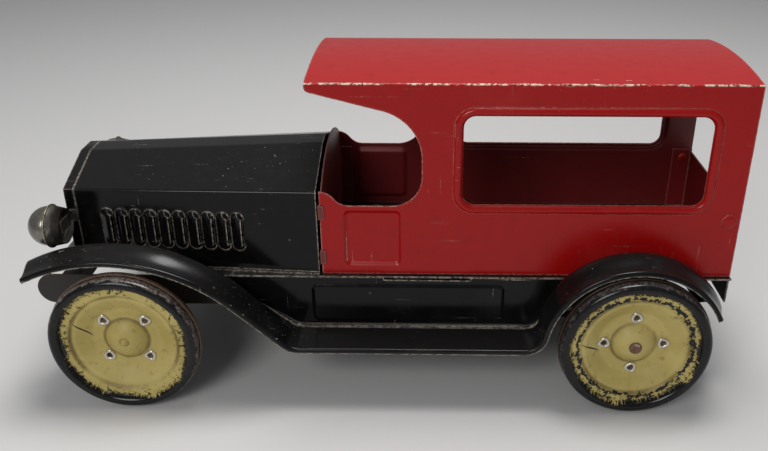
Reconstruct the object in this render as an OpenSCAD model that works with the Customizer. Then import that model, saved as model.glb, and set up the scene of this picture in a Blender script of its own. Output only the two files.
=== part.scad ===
// Pressed-steel friction delivery van: red cab, black hood, fenders and chassis,
// two wheel sets and a flywheel that the rear axle drives by friction.
// The van points along -X, its left side faces -Y, and it stands on z = 0.
// Stations are lengths along X behind the front axle.

/* [Overall] */
// Distance between the front and rear axles
wheelbase = 268; // [230:1:330]
// Frame horns ahead of the front axle
nose_reach = 57; // [54:1:70]
// Cab's back edge behind the rear axle
tail_reach = 54; // [50:1:70]
// Width of the cab over its sides
body_w = 95; // [80:1:114]
// Width over the fenders' outer lips
fender_w = 152; // [148:1:156]
// Thickness of every pressed sheet
sheet_t = 0.8; // [0.6:0.1:1]
// Air left between sheets that pass each other without touching
sheet_gap = 0.3; // [0.2:0.1:0.6]

/* [Wheels and axles] */
// Radius of a wheel's back rim, which rolls on the floor
wheel_r = 40; // [34:0.5:48]
// Distance over the two outer tyre faces of an axle
track_w = 160; // [154:1:170]
// Width of a wheel from its back plate to its tyre's crest
wheel_t = 10; // [9:0.5:12]
// Radius of the pressed tyre's inner edge
disc_r = 33.5; // [28:0.5:34]
// Radius of the step pressed into the disc
step_r = 27; // [24:0.5:28]
// Radius of the domed hub
dome_r = 11.5; // [9:0.5:13]
// Height of the domed hub above the disc
dome_h = 3.6; // [2:0.2:5]
// Radius of the circle that the four eyelets stand on
eyelet_circle_r = 15.5; // [15:0.5:19]
// Radius of an eyelet's barrel
eyelet_r = 1.9; // [1.5:0.1:2.3]
// Radius of the front and rear axles
axle_r = 2.4; // [2:0.1:3]
// Radial running clearance of a shaft in its hole
run_clear = 0.08; // [0.03:0.01:0.1]
// Length of the axle that stands out of a front hub
front_nub = 1.6; // [1:0.2:3]
// Radius of the riveted-over end of the rear axle
rear_nub_r = 4; // [3:0.2:5]

/* [Chassis] */
// Height of the deck's top above the axles
deck_rise = 26.3; // [26:0.1:34]
// Step from the cab's side out to the apron's outer face
apron_step = 3.9; // [2:0.1:6]
// Drop from the axles to the running board's top
board_drop = 4; // [2:0.5:6]
// Depth of the rolled lip along the outer edge, with the sheet
lip_h = 1.6; // [1.2:0.1:2]
// Depth of the deck's turned-down back flange
deck_flange = 16; // [8:1:20]
// Depth of the notch in the top of the apron
notch_h = 1.8; // [1:0.2:3]
// Station where the notch starts
notch_at = 136; // [120:1:150]
// Length of the notch
notch_l = 46; // [20:1:60]
// Distance from the cab's side in to the frame rail's outer face
rail_inset = 3; // [2:0.5:6]
// Height of the frame rail ahead of the deck
rail_h = 18; // [14:1:20]
// Radius of the ear around an axle hole
ear_r = 8; // [6:0.5:10]
// Width of the rail's top flange
rail_flange = 9; // [8:0.5:12]

/* [Fenders] */
// Radius of the front fender's long crown
front_crown_r = 95.7; // [90:0.5:105]
// Station of the centre of the front crown
front_crown_at = -5.7; // [-9:0.5:-3]
// Air between the top of a front wheel and the crown
front_air = 6.9; // [5:0.5:9]
// Station of the front edge of the fenders and the front apron
front_edge_at = -49; // [-52:0.5:-46]
// Slope of the straight run down to the running board, in degrees
slope_a = 42.5; // [38:0.5:46]
// Radius of the bend from the slope into the running board
front_bend_r = 10; // [6:0.5:14]
// Growth of the rear fender's radius over the wheel's
rear_grow = 8.4; // [7:0.2:11]
// Drop of the rear fender's centre below the axle
rear_drop = 4.4; // [3:0.2:5]
// Radius of the bend from the running board up to the rear fender
rear_bend_r = 10; // [6:0.5:14]
// Angle above level at which the rear fender's tail ends, in degrees
tail_a = 25; // [15:1:40]

/* [Apron panel] */
// Station of the front edge of the embossed apron panel
panel_at = 97; // [94:1:110]
// Space left between the apron panel and the rear fender's bend
panel_short = 10; // [6:1:20]
// Margin above and below the apron panel
panel_margin = 2.6; // [2:0.2:5]
// Height that a pressed panel or rim stands out of its sheet
emboss_h = 0.8; // [0.6:0.1:1.2]

/* [Cab] */
// Station of the front edge of the cab's sides
cab_at = 102.5; // [100:0.5:106]
// Station of the visor's front edge
visor_at = 98; // [94:0.5:101]
// Height of the roof's side fold above the deck
roof_rise = 105.4; // [95:0.5:120]
// Crown of the roof above its side folds
roof_crown = 3.6; // [2:0.2:6]
// Height of the door sill above the deck
sill_rise = 40.2; // [36:0.5:44]
// Height of the cowl's top corner above the deck
cowl_rise = 48; // [46:0.5:52]
// Depth of the visor's front end below the roof fold
visor_h = 4.2; // [3:0.2:8]
// Station of the back of the door opening
door_back_at = 156; // [150:0.5:162]
// Radius of the door opening's upper back corner
door_top_r = 26; // [22:0.5:28]
// Radius of the door opening's lower back corner
door_low_r = 15.9; // [12:0.5:18]
// Angle at which the upper corner runs into the visor, in degrees
visor_a = 74; // [70:0.5:78]
// Length of the sweep from the cowl's corner down to the sill
sweep_l = 15.5; // [12:0.5:18]
// Post between the door opening and the window
front_post = 21; // [16:0.5:26]
// Post between the window and the cab's back edge
rear_post = 21; // [18:0.5:26]
// Height of the window's lower edge above the sill
window_lift = 1.2; // [0.6:0.2:3]
// Height of the window opening
window_h = 47.6; // [40:0.2:52]
// Corner radius of the window opening
window_r = 6; // [4:0.5:9]
// Width of the raised rim around the window
rim_w = 4.8; // [3:0.2:6]
// Length of the pressed door panel
door_panel_l = 28; // [22:0.5:30]
// Height of the pressed door panel
door_panel_h = 30; // [24:0.5:32]
// Distance from the cab's front edge to the door panel
door_panel_in = 13.5; // [10:0.5:16]
// Height of the tail panel above the deck
tail_h = 36.2; // [28:0.2:42]
// Length of a tail panel's side flange
tail_flange = 12; // [10:0.5:16]
// Rise of the dash's arched top over the cowl's corners
dash_crown = 14; // [10:0.5:18]
// Length of the dash's flange along a side
dash_flange = 8; // [6:0.5:10]
// Height of one dash tab
tab_h = 8; // [6:0.5:10]
// Radius of the rivet heads
rivet_head_r = 4.2; // [3:0.1:4.5]
// Radius of the rivet shanks
rivet_r = 1.6; // [1.2:0.1:2]
// Radial clearance of a rivet in its hole
rivet_clear = 0.05; // [0.03:0.01:0.1]

/* [Hood and radiator] */
// Width of the radiator shell
radiator_w = 76; // [66:1:80]
// Station of the radiator shell's front face
radiator_at = -35; // [-38:0.5:-33]
// Depth of the radiator shell from front to back
radiator_d = 5.5; // [4:0.5:8]
// Height of the radiator's shoulders above the deck
radiator_rise = 44.4; // [40:0.2:46]
// Rise from the radiator's shoulders to its flat top
radiator_crown = 10.6; // [8:0.2:13]
// Half the width of the flat top
crown_half = 7.3; // [5:0.1:10]
// Depth of the core behind the shell's front edge
core_inset = 1.4; // [1:0.1:2.4]
// Height of the hood's rear shoulders above the deck
hood_rise = 47.6; // [46:0.2:50]
// Rise from the hood's rear shoulders to its crown
hood_crown = 13; // [10:0.2:15]
// Gap between the hood's back edge and the cab's sides
hood_gap = 1.6; // [1:0.2:3]
// Louvres on each side of the hood
louvres = 10; // [6:1:12]
// Distance from one louvre to the next
louvre_pitch = 7.9; // [6.5:0.1:8.4]
// Station of the first louvre
louvre_at = -13.5; // [-16:0.5:-8]
// Height of a louvre
louvre_h = 20; // [14:0.5:22]
// Width of a louvre's slot
louvre_w = 2; // [1.4:0.1:2.6]
// Height of the louvres' lower ends above the deck
louvre_rise = 13; // [11:0.5:18]

/* [Headlamps] */
// Radius of a headlamp
lamp_r = 11.6; // [9:0.2:13]
// Length of the lamp's domed front
lamp_dome = 12; // [8:0.5:15]
// Length of the lamp's tapered back
lamp_back_l = 5; // [3:0.5:8]
// Distance between the two lamps' centres
lamp_span = 104; // [98:1:110]
// Station of the lamps' rims
lamp_at = -37.5; // [-40:0.5:-36]
// Air between a lamp and the sheet below it
lamp_air = 1.2; // [0.8:0.1:3]
// Width of a lamp's strip bracket
bracket_w = 7; // [5:0.5:10]

/* [Friction drive] */
// Radius of the friction wheel on the rear axle
drive_r = 24; // [22:0.1:25]
// Width of the friction wheel
drive_w = 8; // [6:0.5:10]
// Radius of the arbor where the friction wheel drives it
arbor_r = 3.2; // [2.8:0.1:3.6]
// Gap at the rolling contact between friction wheel and arbor
roll_gap = 0.2; // [0.1:0.05:0.4]
// Radius of the arbor's journals
journal_r = 2; // [1.5:0.1:2.5]
// Radius of the flywheel
fly_r = 22; // [16:0.5:23]
// Width of the flywheel's heavy rim
fly_w = 18; // [12:0.5:20]
// Thickness of the flywheel's web
fly_web = 7; // [4:0.5:9]
// Distance between the inner faces of the motor plates
motor_w = 46; // [44:1:54]
// Thickness of a motor plate
motor_t = 1.2; // [1:0.1:1.6]
// Width of a motor plate's top flange
motor_flange = 9; // [8:0.5:10]
// Side play of a turning set in its frame
side_play = 0.5; // [0.3:0.1:1]

/* [Hidden] */

// Facets of a full round, and how far a cut runs past what it cuts
round_fn = 64;
over = 1;

// Stations turned into places along X, with the whole length centred on the origin
front_x = (nose_reach - wheelbase - tail_reach) / 2;
rear_x = front_x + wheelbase;
cab_x0 = front_x + cab_at;
cab_x1 = rear_x + tail_reach;
visor_x = front_x + visor_at;
door_back_x = front_x + door_back_at;
win_x0 = door_back_x + front_post;
win_x1 = cab_x1 - rear_post;
edge_x = front_x + front_edge_at;
rad_x0 = front_x + radiator_at;
rad_x1 = rad_x0 + radiator_d;
hood_x1 = cab_x0 - hood_gap;
lamp_x = front_x + lamp_at;

// Heights
axle_z = wheel_r;
deck_z = axle_z + deck_rise;
board_z = axle_z - board_drop;
roof_z = deck_z + roof_rise;
sill_z = deck_z + sill_rise;
cowl_z = deck_z + cowl_rise;
win_z0 = sill_z + window_lift;

// Half widths
side_y = body_w / 2;
apron_y = side_y + apron_step;
apron_in_y = apron_y - sheet_t;
lip_y = fender_w / 2;
rail_y = side_y - rail_inset;
wheel_y0 = track_w / 2 - wheel_t;
motor_y = motor_w / 2;

// Front crown, slope and bend, then rear bend and rear crown of a fender
crown_c = [front_x + front_crown_at, 2 * wheel_r + front_air - front_crown_r];
slope_x = crown_c[0] + front_crown_r * sin(slope_a);
slope_z = crown_c[1] + front_crown_r * cos(slope_a);
bend_z = board_z + front_bend_r;
bend_c = [slope_x + (front_bend_r - (bend_z - slope_z) * cos(slope_a)) / sin(slope_a), bend_z];
rear_r = wheel_r + rear_grow;
rear_c = [rear_x, axle_z - rear_drop];
rise_z = board_z + rear_bend_r;
rise_dx = sqrt(pow(rear_r + rear_bend_r, 2) - pow(rise_z - rear_c[1], 2));
rise_c = [rear_c[0] - rise_dx, rise_z];
rise_a = atan2(rear_c[1] - rise_c[1], rear_c[0] - rise_c[0]);
edge_a = acos((edge_x - crown_c[0]) / front_crown_r);
tray_dx = sqrt(pow(front_crown_r, 2) - pow(deck_z - crown_c[1], 2));
tray_x1 = crown_c[0] + tray_dx;
tray_a = atan2(deck_z - crown_c[1], tray_dx);

// Friction drive: the arbor lies ahead of the rear axle at the same height
arbor_x = rear_x - drive_r - arbor_r - roll_gap;
drive_y = motor_y - side_play - drive_w;
fly_y = -motor_y + 2 * side_play;

function arc_points(c, r, a0, a1, n) =
    [for (i = [0:n]) let (a = a0 + (a1 - a0) * i / n) [c[0] + r * cos(a), c[1] + r * sin(a)]];

function reversed(list) = [for (i = [len(list) - 1:-1:0]) list[i]];

function tray_height(x) = crown_c[1] + sqrt(pow(front_crown_r, 2) - pow(x - crown_c[0], 2));

// The fender and running board's line, at depth d under its top surface
function fender_line(d) = concat(
    arc_points(crown_c, front_crown_r - d, edge_a, 90 - slope_a, 24),
    arc_points(bend_c, front_bend_r + d, 270 - slope_a, 270, 6),
    arc_points(rise_c, rear_bend_r + d, 270, 360 + rise_a, 8),
    arc_points(rear_c, rear_r - d, 180 + rise_a, tail_a, 28)
);

// Half of a hood section, inset by d: wall foot, shoulder, and edge of the flat top
function hood_half(w, base, shoulder, crown, d) =
    let (
        slope = atan2(crown, w - crown_half),
        foot = w - d,
        low = shoulder + d * tan(slope) - d / cos(slope),
        flat = w - (crown - d + d / cos(slope)) / tan(slope)
    )
    [[foot, base], [foot, low], [flat, shoulder + crown - d]];

function mirrored(half) = concat(half, [for (p = reversed(half)) [-p[0], p[1]]]);

// A slab between two places along Y, from an outline in X and Z
module slab(y0, y1) {
    translate([0, y1, 0])
        rotate([90, 0, 0])
            linear_extrude(y1 - y0)
                children();
}

// A bar between two places along X, from an outline in Y and Z
module bar(x0, x1) {
    translate([x0, 0, 0])
        rotate([90, 0, 90])
            linear_extrude(x1 - x0)
                children();
}

// A round rod along Y
module rod(x, z, y0, y1, r) {
    translate([x, y0, z])
        rotate([-90, 0, 0])
            cylinder(h = y1 - y0, r = r, $fn = round_fn);
}

module both_sides() {
    children();
    mirror([0, 1, 0])
        children();
}

module rounded_rect(w, h, r) {
    translate([r, 0])
        square([w - 2 * r, h]);
    translate([0, r])
        square([w, h - 2 * r]);
    for (x = [r, w - r], y = [r, h - r])
        translate([x, y])
            circle(r, $fn = 32);
}

module block(x0, x1, y0, y1, z0, z1) {
    translate([x0, y0, z0])
        cube([x1 - x0, y1 - y0, z1 - z0]);
}

// ---- Cab ----

rivet_x = cab_x1 - tail_flange / 2;
rivet_z = deck_z + tail_h - 3.5;
tail_x = cab_x1 - sheet_t;
dash_x = cab_x0 + sheet_t;
roof_r = (pow(side_y, 2) + pow(roof_crown, 2)) / (2 * roof_crown);
panel_x0 = cab_x0 + door_panel_in;
panel_z1 = sill_z - 4;
tab_zs = [deck_z + 6, sill_z - tab_h];

// The roof's arch from side to side, at depth d under its skin
function roof_arc(d) =
    let (a = asin((side_y - d) / (roof_r - d)))
    arc_points([0, roof_z + roof_crown - roof_r], roof_r - d, 90 + a, 90 - a, 16);

// Everything cut out of the sides from the front edge to the back of the door opening
module door_cut() {
    low_c = [door_back_x - door_low_r, sill_z + door_low_r];
    top_c = [door_back_x - door_top_r, sill_z + door_top_r];
    sweep_z = cowl_z - sill_z;
    polygon(concat(
        [[cab_x0 - 20, deck_z - over], [cab_x0, deck_z - over], [cab_x0, cowl_z]],
        [for (i = [1:9]) [cab_x0 + sweep_l * i / 9, sill_z + sweep_z * (1 + cos(20 * i)) / 2]],
        arc_points(low_c, door_low_r, 270, 360, 10),
        arc_points(top_c, door_top_r, 0, visor_a, 12),
        [[visor_x, roof_z - visor_h], [cab_x0 - 20, roof_z - visor_h]]
    ));
}

module window_outline(grow) {
    translate([win_x0 - grow, win_z0 - grow])
        rounded_rect(win_x1 - win_x0 + 2 * grow, window_h + 2 * grow, window_r + grow);
}

module door_panel_outline(grow) {
    translate([panel_x0 - grow, panel_z1 - door_panel_h - grow])
        rounded_rect(door_panel_l + 2 * grow, door_panel_h + 2 * grow, 2 + grow);
}

module cab_shell() {
    color("firebrick")
        difference() {
            union() {
                bar(visor_x, cab_x1)
                    polygon(concat(
                        [[-side_y, deck_z]],
                        roof_arc(0),
                        [[side_y, deck_z], [side_y - sheet_t, deck_z]],
                        reversed(roof_arc(sheet_t)),
                        [[-side_y + sheet_t, deck_z]]
                    ));
                both_sides() {
                    slab(-side_y - emboss_h, -side_y)
                        window_outline(rim_w);
                    slab(-side_y + sheet_t, -side_y + sheet_t + emboss_h)
                        door_panel_outline(sheet_t);
                }
            }
            slab(-side_y - over, side_y + over)
                door_cut();
            slab(-side_y - 2 * over, side_y + 2 * over)
                window_outline(0);
            both_sides()
                slab(-side_y - over, -side_y + emboss_h)
                    door_panel_outline(0);
            rod(rivet_x, rivet_z, -side_y - over, side_y + over, rivet_r + rivet_clear);
        }
}

module dash_panel() {
    inner_y = side_y - sheet_t;
    arch_r = (pow(inner_y, 2) + pow(dash_crown, 2)) / (2 * dash_crown);
    arch_a = asin(inner_y / arch_r);
    dash_low = cowl_z - sheet_gap;
    color("saddlebrown") {
        bar(dash_x, dash_x + sheet_t)
            polygon(concat(
                [[-inner_y, deck_z], [inner_y, deck_z]],
                arc_points([0, dash_low + dash_crown - arch_r], arch_r, 90 - arch_a, 90 + arch_a, 16)
            ));
        both_sides() {
            block(dash_x, dash_x + dash_flange, -inner_y, -inner_y + sheet_t, deck_z, sill_z - 2);
            for (z = tab_zs) {
                block(cab_x0 - sheet_t, dash_x, -inner_y, -inner_y + sheet_t, z, z + tab_h);
                block(cab_x0 - sheet_t, cab_x0, -side_y - sheet_t, -inner_y, z, z + tab_h);
                block(cab_x0, cab_x0 + 2.4, -side_y - sheet_t, -side_y, z, z + tab_h);
            }
        }
    }
}

module tail_panel() {
    inner_y = side_y - sheet_t;
    color("firebrick")
        difference() {
            union() {
                block(tail_x, cab_x1, -inner_y, inner_y, deck_z, deck_z + tail_h);
                both_sides()
                    block(cab_x1 - tail_flange, cab_x1, -inner_y, -inner_y + sheet_t,
                        deck_z, deck_z + tail_h + 1.8);
            }
            rod(rivet_x, rivet_z, -side_y, side_y, rivet_r + rivet_clear);
        }
}

module cab_rivets() {
    color("indianred")
        both_sides() {
            rod(rivet_x, rivet_z, -side_y - 0.9, -side_y, rivet_head_r);
            rod(rivet_x, rivet_z, -side_y - 0.5, -side_y + 2 * sheet_t + 0.5, rivet_r);
            rod(rivet_x, rivet_z, -side_y + 2 * sheet_t, -side_y + 2 * sheet_t + 0.8, rivet_r + 1);
        }
}

// ---- Hood, radiator and headlamps ----

rad_half = radiator_w / 2;
rad_z = deck_z + radiator_rise;
hood_foot = deck_z;
lamp_z = tray_height(lamp_x + lamp_back_l) + lamp_air + lamp_r;
bracket_x0 = lamp_x + lamp_back_l;

// The space under the front apron's top and under the deck's top
module below_sheets(grow) {
    slab(-apron_y, apron_y)
        polygon(concat(
            [[edge_x - 20, 0]],
            [[edge_x - 20, tray_height(edge_x)]],
            arc_points(crown_c, front_crown_r + grow, edge_a, tray_a, 24),
            [[tray_x1, deck_z + grow], [cab_x1, deck_z + grow], [cab_x1, 0]]
        ));
}

module hood_solid(d) {
    hull() {
        bar(rad_x1 - (d > 0 ? over : 0), rad_x1 + 0.1)
            polygon(mirrored(hood_half(rad_half, hood_foot - d, rad_z, radiator_crown, d)));
        bar(hood_x1 - 0.1, hood_x1 + (d > 0 ? over : 0))
            polygon(mirrored(hood_half(side_y, hood_foot - d, deck_z + hood_rise, hood_crown, d)));
    }
}

// Places along the hood's tapering side
function hood_side(x) = rad_half + (side_y - rad_half) * (x - rad_x1) / (hood_x1 - rad_x1);

module hood_shell() {
    taper = atan2(side_y - rad_half, hood_x1 - rad_x1);
    louvre_z = deck_z + louvre_rise;
    color("#161616")
        difference() {
            union() {
                hood_solid(0);
                both_sides()
                    for (i = [0:louvres - 1]) {
                        x = front_x + louvre_at + i * louvre_pitch;
                        translate([x, -hood_side(x), louvre_z])
                            rotate([0, 0, -taper])
                                translate([0, -emboss_h, 0])
                                    cube([louvre_w, 2 * sheet_t + 0.4, louvre_h]);
                    }
            }
            hood_solid(sheet_t);
            below_sheets(0);
            both_sides()
                for (i = [0:louvres - 1]) {
                    x = front_x + louvre_at + i * louvre_pitch;
                    translate([x, -hood_side(x), louvre_z + sheet_t])
                        rotate([0, 0, -taper])
                            translate([-louvre_w, -emboss_h + sheet_t, 0])
                                cube([2 * louvre_w, 2 * sheet_t + 1, louvre_h - 2 * sheet_t]);
                }
        }
}

module radiator_shell() {
    color("#1c1c1a")
        difference() {
            bar(rad_x0, rad_x1)
                difference() {
                    polygon(mirrored(hood_half(rad_half, hood_foot, rad_z, radiator_crown, 0)));
                    polygon(mirrored(hood_half(rad_half, hood_foot - over, rad_z,
                        radiator_crown, sheet_t)));
                }
            below_sheets(0);
        }
}

module radiator_core() {
    x0 = rad_x0 + core_inset;
    rib_pitch = 6;
    color("#22221f")
        difference() {
            union() {
                bar(x0, x0 + sheet_t)
                    polygon(mirrored(hood_half(rad_half, hood_foot, rad_z,
                        radiator_crown, sheet_t)));
                for (i = [-5:5])
                    block(x0 - 0.5, x0, i * rib_pitch - 1, i * rib_pitch + 1,
                        deck_z, rad_z - 2);
            }
            below_sheets(0);
        }
}

// A headlamp piece turned about the lamp's own axis, which points forwards
module lamp_turned(side) {
    translate([lamp_x, side * lamp_span / 2, lamp_z])
        rotate([0, -90, 0])
            rotate_extrude($fn = round_fn)
                children();
}

// Half of a lamp's dome in section, from the rim at height 0 to the tip
function dome_arc(d) =
    let (
        ball_r = (pow(lamp_r, 2) + pow(lamp_dome, 2)) / (2 * lamp_dome),
        mid = lamp_dome - ball_r,
        rim_r = sqrt(pow(ball_r - d, 2) - pow(mid, 2))
    )
    arc_points([0, mid], ball_r - d, atan2(-mid, rim_r), 90, 14);

module lamp_dome(side) {
    color("#b9ae8a")
        lamp_turned(side)
            polygon(concat(dome_arc(0), reversed(dome_arc(sheet_t))));
}

module lamp_back(side) {
    rear_w = 5;
    color("#3a372e")
        lamp_turned(side)
            difference() {
                polygon([[0, 0], [lamp_r, 0], [lamp_r, -sheet_t], [rear_w, -lamp_back_l],
                    [0, -lamp_back_l]]);
                polygon([[0, over], [lamp_r - sheet_t, over], [lamp_r - sheet_t, -sheet_t],
                    [rear_w - sheet_t, -lamp_back_l + sheet_t], [0, -lamp_back_l + sheet_t]]);
            }
}

// A strip from the lamp's back, inwards to the radiator's side
module lamp_bracket(side) {
    y = lamp_span / 2;
    rear = rad_x1 - 0.5;
    color("#2a2a28")
        mirror([0, side > 0 ? 0 : 1, 0]) {
            block(bracket_x0, bracket_x0 + sheet_t, rad_half, y + 3,
                lamp_z - bracket_w / 2, lamp_z + bracket_w / 2);
            block(bracket_x0 - 2, rear, rad_half, rad_half + sheet_t,
                lamp_z - bracket_w / 2, lamp_z + bracket_w / 2);
        }
}

// ---- Chassis ----

rail_low = axle_z + 4.5;
rail_top = deck_z - sheet_t;
horn_r = rail_h / 2;
rail_x1 = rear_x + ear_r + 8;
pillar_x = arbor_x - fly_r - 5;
plate_x0 = pillar_x - 6;
plate_x1 = rear_x + 9;
plate_z0 = axle_z - 10;
pillar_z = plate_z0 + 7;
pillar_r = 1.6;
rail_rivet_xs = [tray_x1 + 14, cab_x0 + 24, (front_x + rear_x) / 2 + 30, plate_x0 - 12];
motor_rivet_xs = [plate_x0 + 10, plate_x1 - 9];
rail_rivet_y = rail_y - rail_flange / 2 - sheet_t;
motor_rivet_y = motor_y + motor_flange / 2 + motor_t / 2;

// Holes through the deck and a flange under it, on both sides
module rivet_holes(xs, y) {
    both_sides()
        for (x = xs)
            translate([x, -y, deck_z - sheet_t - motor_t - over])
                cylinder(h = sheet_t + motor_t + 2 * over, r = rivet_r + rivet_clear, $fn = 32);
}

// Upright rivets that clench the deck to a flange of thickness t
module rivets(xs, y, t) {
    low = deck_z - sheet_t - t;
    both_sides()
        for (x = xs)
            translate([x, -y, 0]) {
                translate([0, 0, deck_z])
                    cylinder(h = 1, r = rivet_r + 1.2, $fn = 32);
                translate([0, 0, low - 0.5])
                    cylinder(h = deck_z - low + 1, r = rivet_r, $fn = 32);
                translate([0, 0, low - 0.9])
                    cylinder(h = 0.9, r = rivet_r + 1, $fn = 32);
            }
}

module front_apron() {
    color("#171717")
        slab(-apron_in_y, apron_in_y)
            polygon(concat(
                arc_points(crown_c, front_crown_r, edge_a, tray_a, 24),
                reversed(arc_points(crown_c, front_crown_r - sheet_t, edge_a, tray_a, 24))
            ));
}

module deck() {
    color("#151515")
        difference() {
            union() {
                block(tray_x1, cab_x1, -apron_in_y, apron_in_y, deck_z - sheet_t, deck_z);
                block(cab_x1 - sheet_t, cab_x1, -side_y, side_y, deck_z - deck_flange, deck_z);
            }
            rivet_holes(rail_rivet_xs, rail_rivet_y);
            rivet_holes(motor_rivet_xs, motor_rivet_y);
        }
}

// Fenders, running board and apron of one side, pressed from one sheet
module fender_board() {
    line_top = fender_line(0);
    line_low = fender_line(sheet_t);
    over_deck_a = asin((deck_z - rear_c[1]) / (rear_r - sheet_t));
    board_x0 = bend_c[0];
    board_x1 = rise_c[0];
    panel_x1 = board_x1 - panel_short;
    low = board_z - sheet_t;
    panel_z0 = board_z + panel_margin;
    panel_h = deck_z - notch_h - 2 * panel_margin - board_z;
    difference() {
        union() {
            slab(-lip_y, -apron_in_y)
                polygon(concat(line_top, reversed(line_low)));
            slab(-lip_y, -lip_y + sheet_t)
                polygon(concat(line_top, reversed(fender_line(lip_h))));
            slab(-apron_in_y, -side_y - sheet_gap)
                polygon(concat(
                    arc_points(rear_c, rear_r, 180 - over_deck_a, over_deck_a, 20),
                    arc_points(rear_c, rear_r - sheet_t, over_deck_a, 180 - over_deck_a, 20)
                ));
            intersection() {
                slab(-apron_y, -apron_in_y)
                    polygon(concat(
                        [[tray_x1, deck_z]],
                        [for (p = fender_line(sheet_t / 2)) if (p[1] < deck_z) p],
                        [[rear_x, deck_z]]
                    ));
                block(tray_x1, rear_c[0] - rear_r * 0.7, -lip_y, lip_y, low, deck_z);
            }
            slab(-apron_y - emboss_h, -apron_y)
                translate([panel_at + front_x, panel_z0])
                    rounded_rect(panel_x1 - panel_at - front_x, panel_h, 2);
        }
        slab(-apron_y, -apron_in_y + over)
            translate([panel_at + front_x + sheet_t, panel_z0 + sheet_t])
                rounded_rect(panel_x1 - panel_at - front_x - 2 * sheet_t,
                    panel_h - 2 * sheet_t, 1.4);
        block(front_x + notch_at, front_x + notch_at + notch_l, -apron_y - over,
            -apron_in_y + over, deck_z - notch_h, deck_z + over);
    }
}

module left_fender_board() {
    color("#141414")
        fender_board();
}

module right_fender_board() {
    color("#141414")
        mirror([0, 1, 0])
            fender_board();
}

// A frame rail: a plate with a rounded horn, two axle ears and a top flange
module rail() {
    horn_x = front_x - nose_reach + horn_r;
    difference() {
        union() {
            slab(-rail_y, -rail_y + sheet_t) {
                translate([horn_x, rail_low + horn_r])
                    circle(horn_r, $fn = 48);
                translate([horn_x, rail_low])
                    square([rail_x1 - horn_x, rail_h]);
                translate([tray_x1 + 2, rail_low])
                    square([rail_x1 - tray_x1 - 2, rail_top - rail_low]);
                for (x = [front_x, rear_x]) {
                    translate([x, axle_z])
                        circle(ear_r, $fn = 48);
                    translate([x - ear_r, axle_z])
                        square([2 * ear_r, ear_r]);
                }
            }
            block(tray_x1 + 2, rail_x1, -rail_y, -rail_y + rail_flange,
                rail_top - sheet_t, rail_top);
        }
        rod(front_x, axle_z, -rail_y - over, -rail_y + 2, axle_r + run_clear);
        rod(rear_x, axle_z, -rail_y - over, -rail_y + 2, axle_r + run_clear);
        rivet_holes(rail_rivet_xs, rail_rivet_y);
    }
}

module left_rail() {
    color("#1d1b18")
        rail();
}

module right_rail() {
    color("#1d1b18")
        mirror([0, 1, 0])
            rail();
}

module rail_rivets() {
    color("dimgray")
        rivets(rail_rivet_xs, rail_rivet_y, sheet_t);
}

module motor_rivets() {
    color("dimgray")
        rivets(motor_rivet_xs, motor_rivet_y, motor_t);
}

// A channel between the two rails, open downwards
module crossmember(x, depth) {
    inner_y = rail_y - sheet_t;
    top = rail_low + rail_h - 2;
    block(x, x + depth, -inner_y, inner_y, top - sheet_t, top);
    block(x, x + sheet_t, -inner_y, inner_y, top - 9, top);
    block(x + depth - sheet_t, x + depth, -inner_y, inner_y, top - 9, top);
}

module front_crossmember() {
    color("#2b241d")
        crossmember(front_x - nose_reach + horn_r + 4, 10);
}

module mid_crossmember() {
    color("#2b241d")
        crossmember(cab_x0 + 36, 14);
}

// ---- Axles and wheels ----

module front_axle() {
    end_y = wheel_y0 + wheel_t - 2.6 + dome_h + front_nub;
    color("gray")
        rod(front_x, axle_z, -end_y, end_y, axle_r);
}

module rear_axle() {
    end_y = wheel_y0 + wheel_t - 2.6 + dome_h;
    color("gray") {
        rod(rear_x, axle_z, -end_y - 0.2, end_y + 0.2, axle_r);
        both_sides()
            rod(rear_x, axle_z, -end_y - 1.4, -end_y, rear_nub_r);
    }
}

// Tubes that keep the wheels away from the rails
module spacers(x) {
    color("#4a4640")
        both_sides()
            difference() {
                rod(x, axle_z, -wheel_y0, -rail_y - side_play, axle_r + 1.4);
                rod(x, axle_z, -wheel_y0 - over, -rail_y, axle_r);
            }
}

// A piece turned about an axle, with heights counted outwards from the wheel's back
module wheel_turned(x, side) {
    mirror([0, side > 0 ? 0 : 1, 0])
        translate([x, wheel_y0, axle_z])
            rotate([-90, 0, 0])
                children();
}

disc_h = wheel_t - 2.6;
band_h = disc_h + 1.2;
rim_skin = 0.8;
tyre_r = wheel_r - rim_skin;
tyre_mid = (tyre_r + disc_r) / 2;
tyre_half = (tyre_r - disc_r) / 2;

// Outer skin of the wheel's face, moved inwards by d
function face_line(d) = concat(
    [for (i = [0:6]) let (a = 90 * i / 6)
        [axle_r + (dome_r - axle_r) * sin(a), disc_h - d + dome_h * cos(a)]],
    [[step_r - 1, disc_h - d], [step_r + 1, band_h - d], [disc_r, band_h - d]],
    arc_points([tyre_mid, band_h - d], tyre_half - (d > 0 ? d : 0), 150, 0, 10),
    [[tyre_r - d, 2.2]]
);

module eyelet_spots(turn) {
    for (i = [0:3])
        rotate([0, 0, turn + 90 * i])
            translate([eyelet_circle_r, 0, 0])
                children();
}

module wheel_face(x, side, turn) {
    color("#b5ab6b")
        wheel_turned(x, side)
            difference() {
                rotate_extrude($fn = round_fn)
                    polygon(concat(face_line(0), reversed(face_line(sheet_t))));
                eyelet_spots(turn)
                    translate([0, 0, disc_h - 2 * sheet_t])
                        cylinder(h = 4 * sheet_t, r = eyelet_r + rivet_clear, $fn = 32);
            }
}

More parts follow.
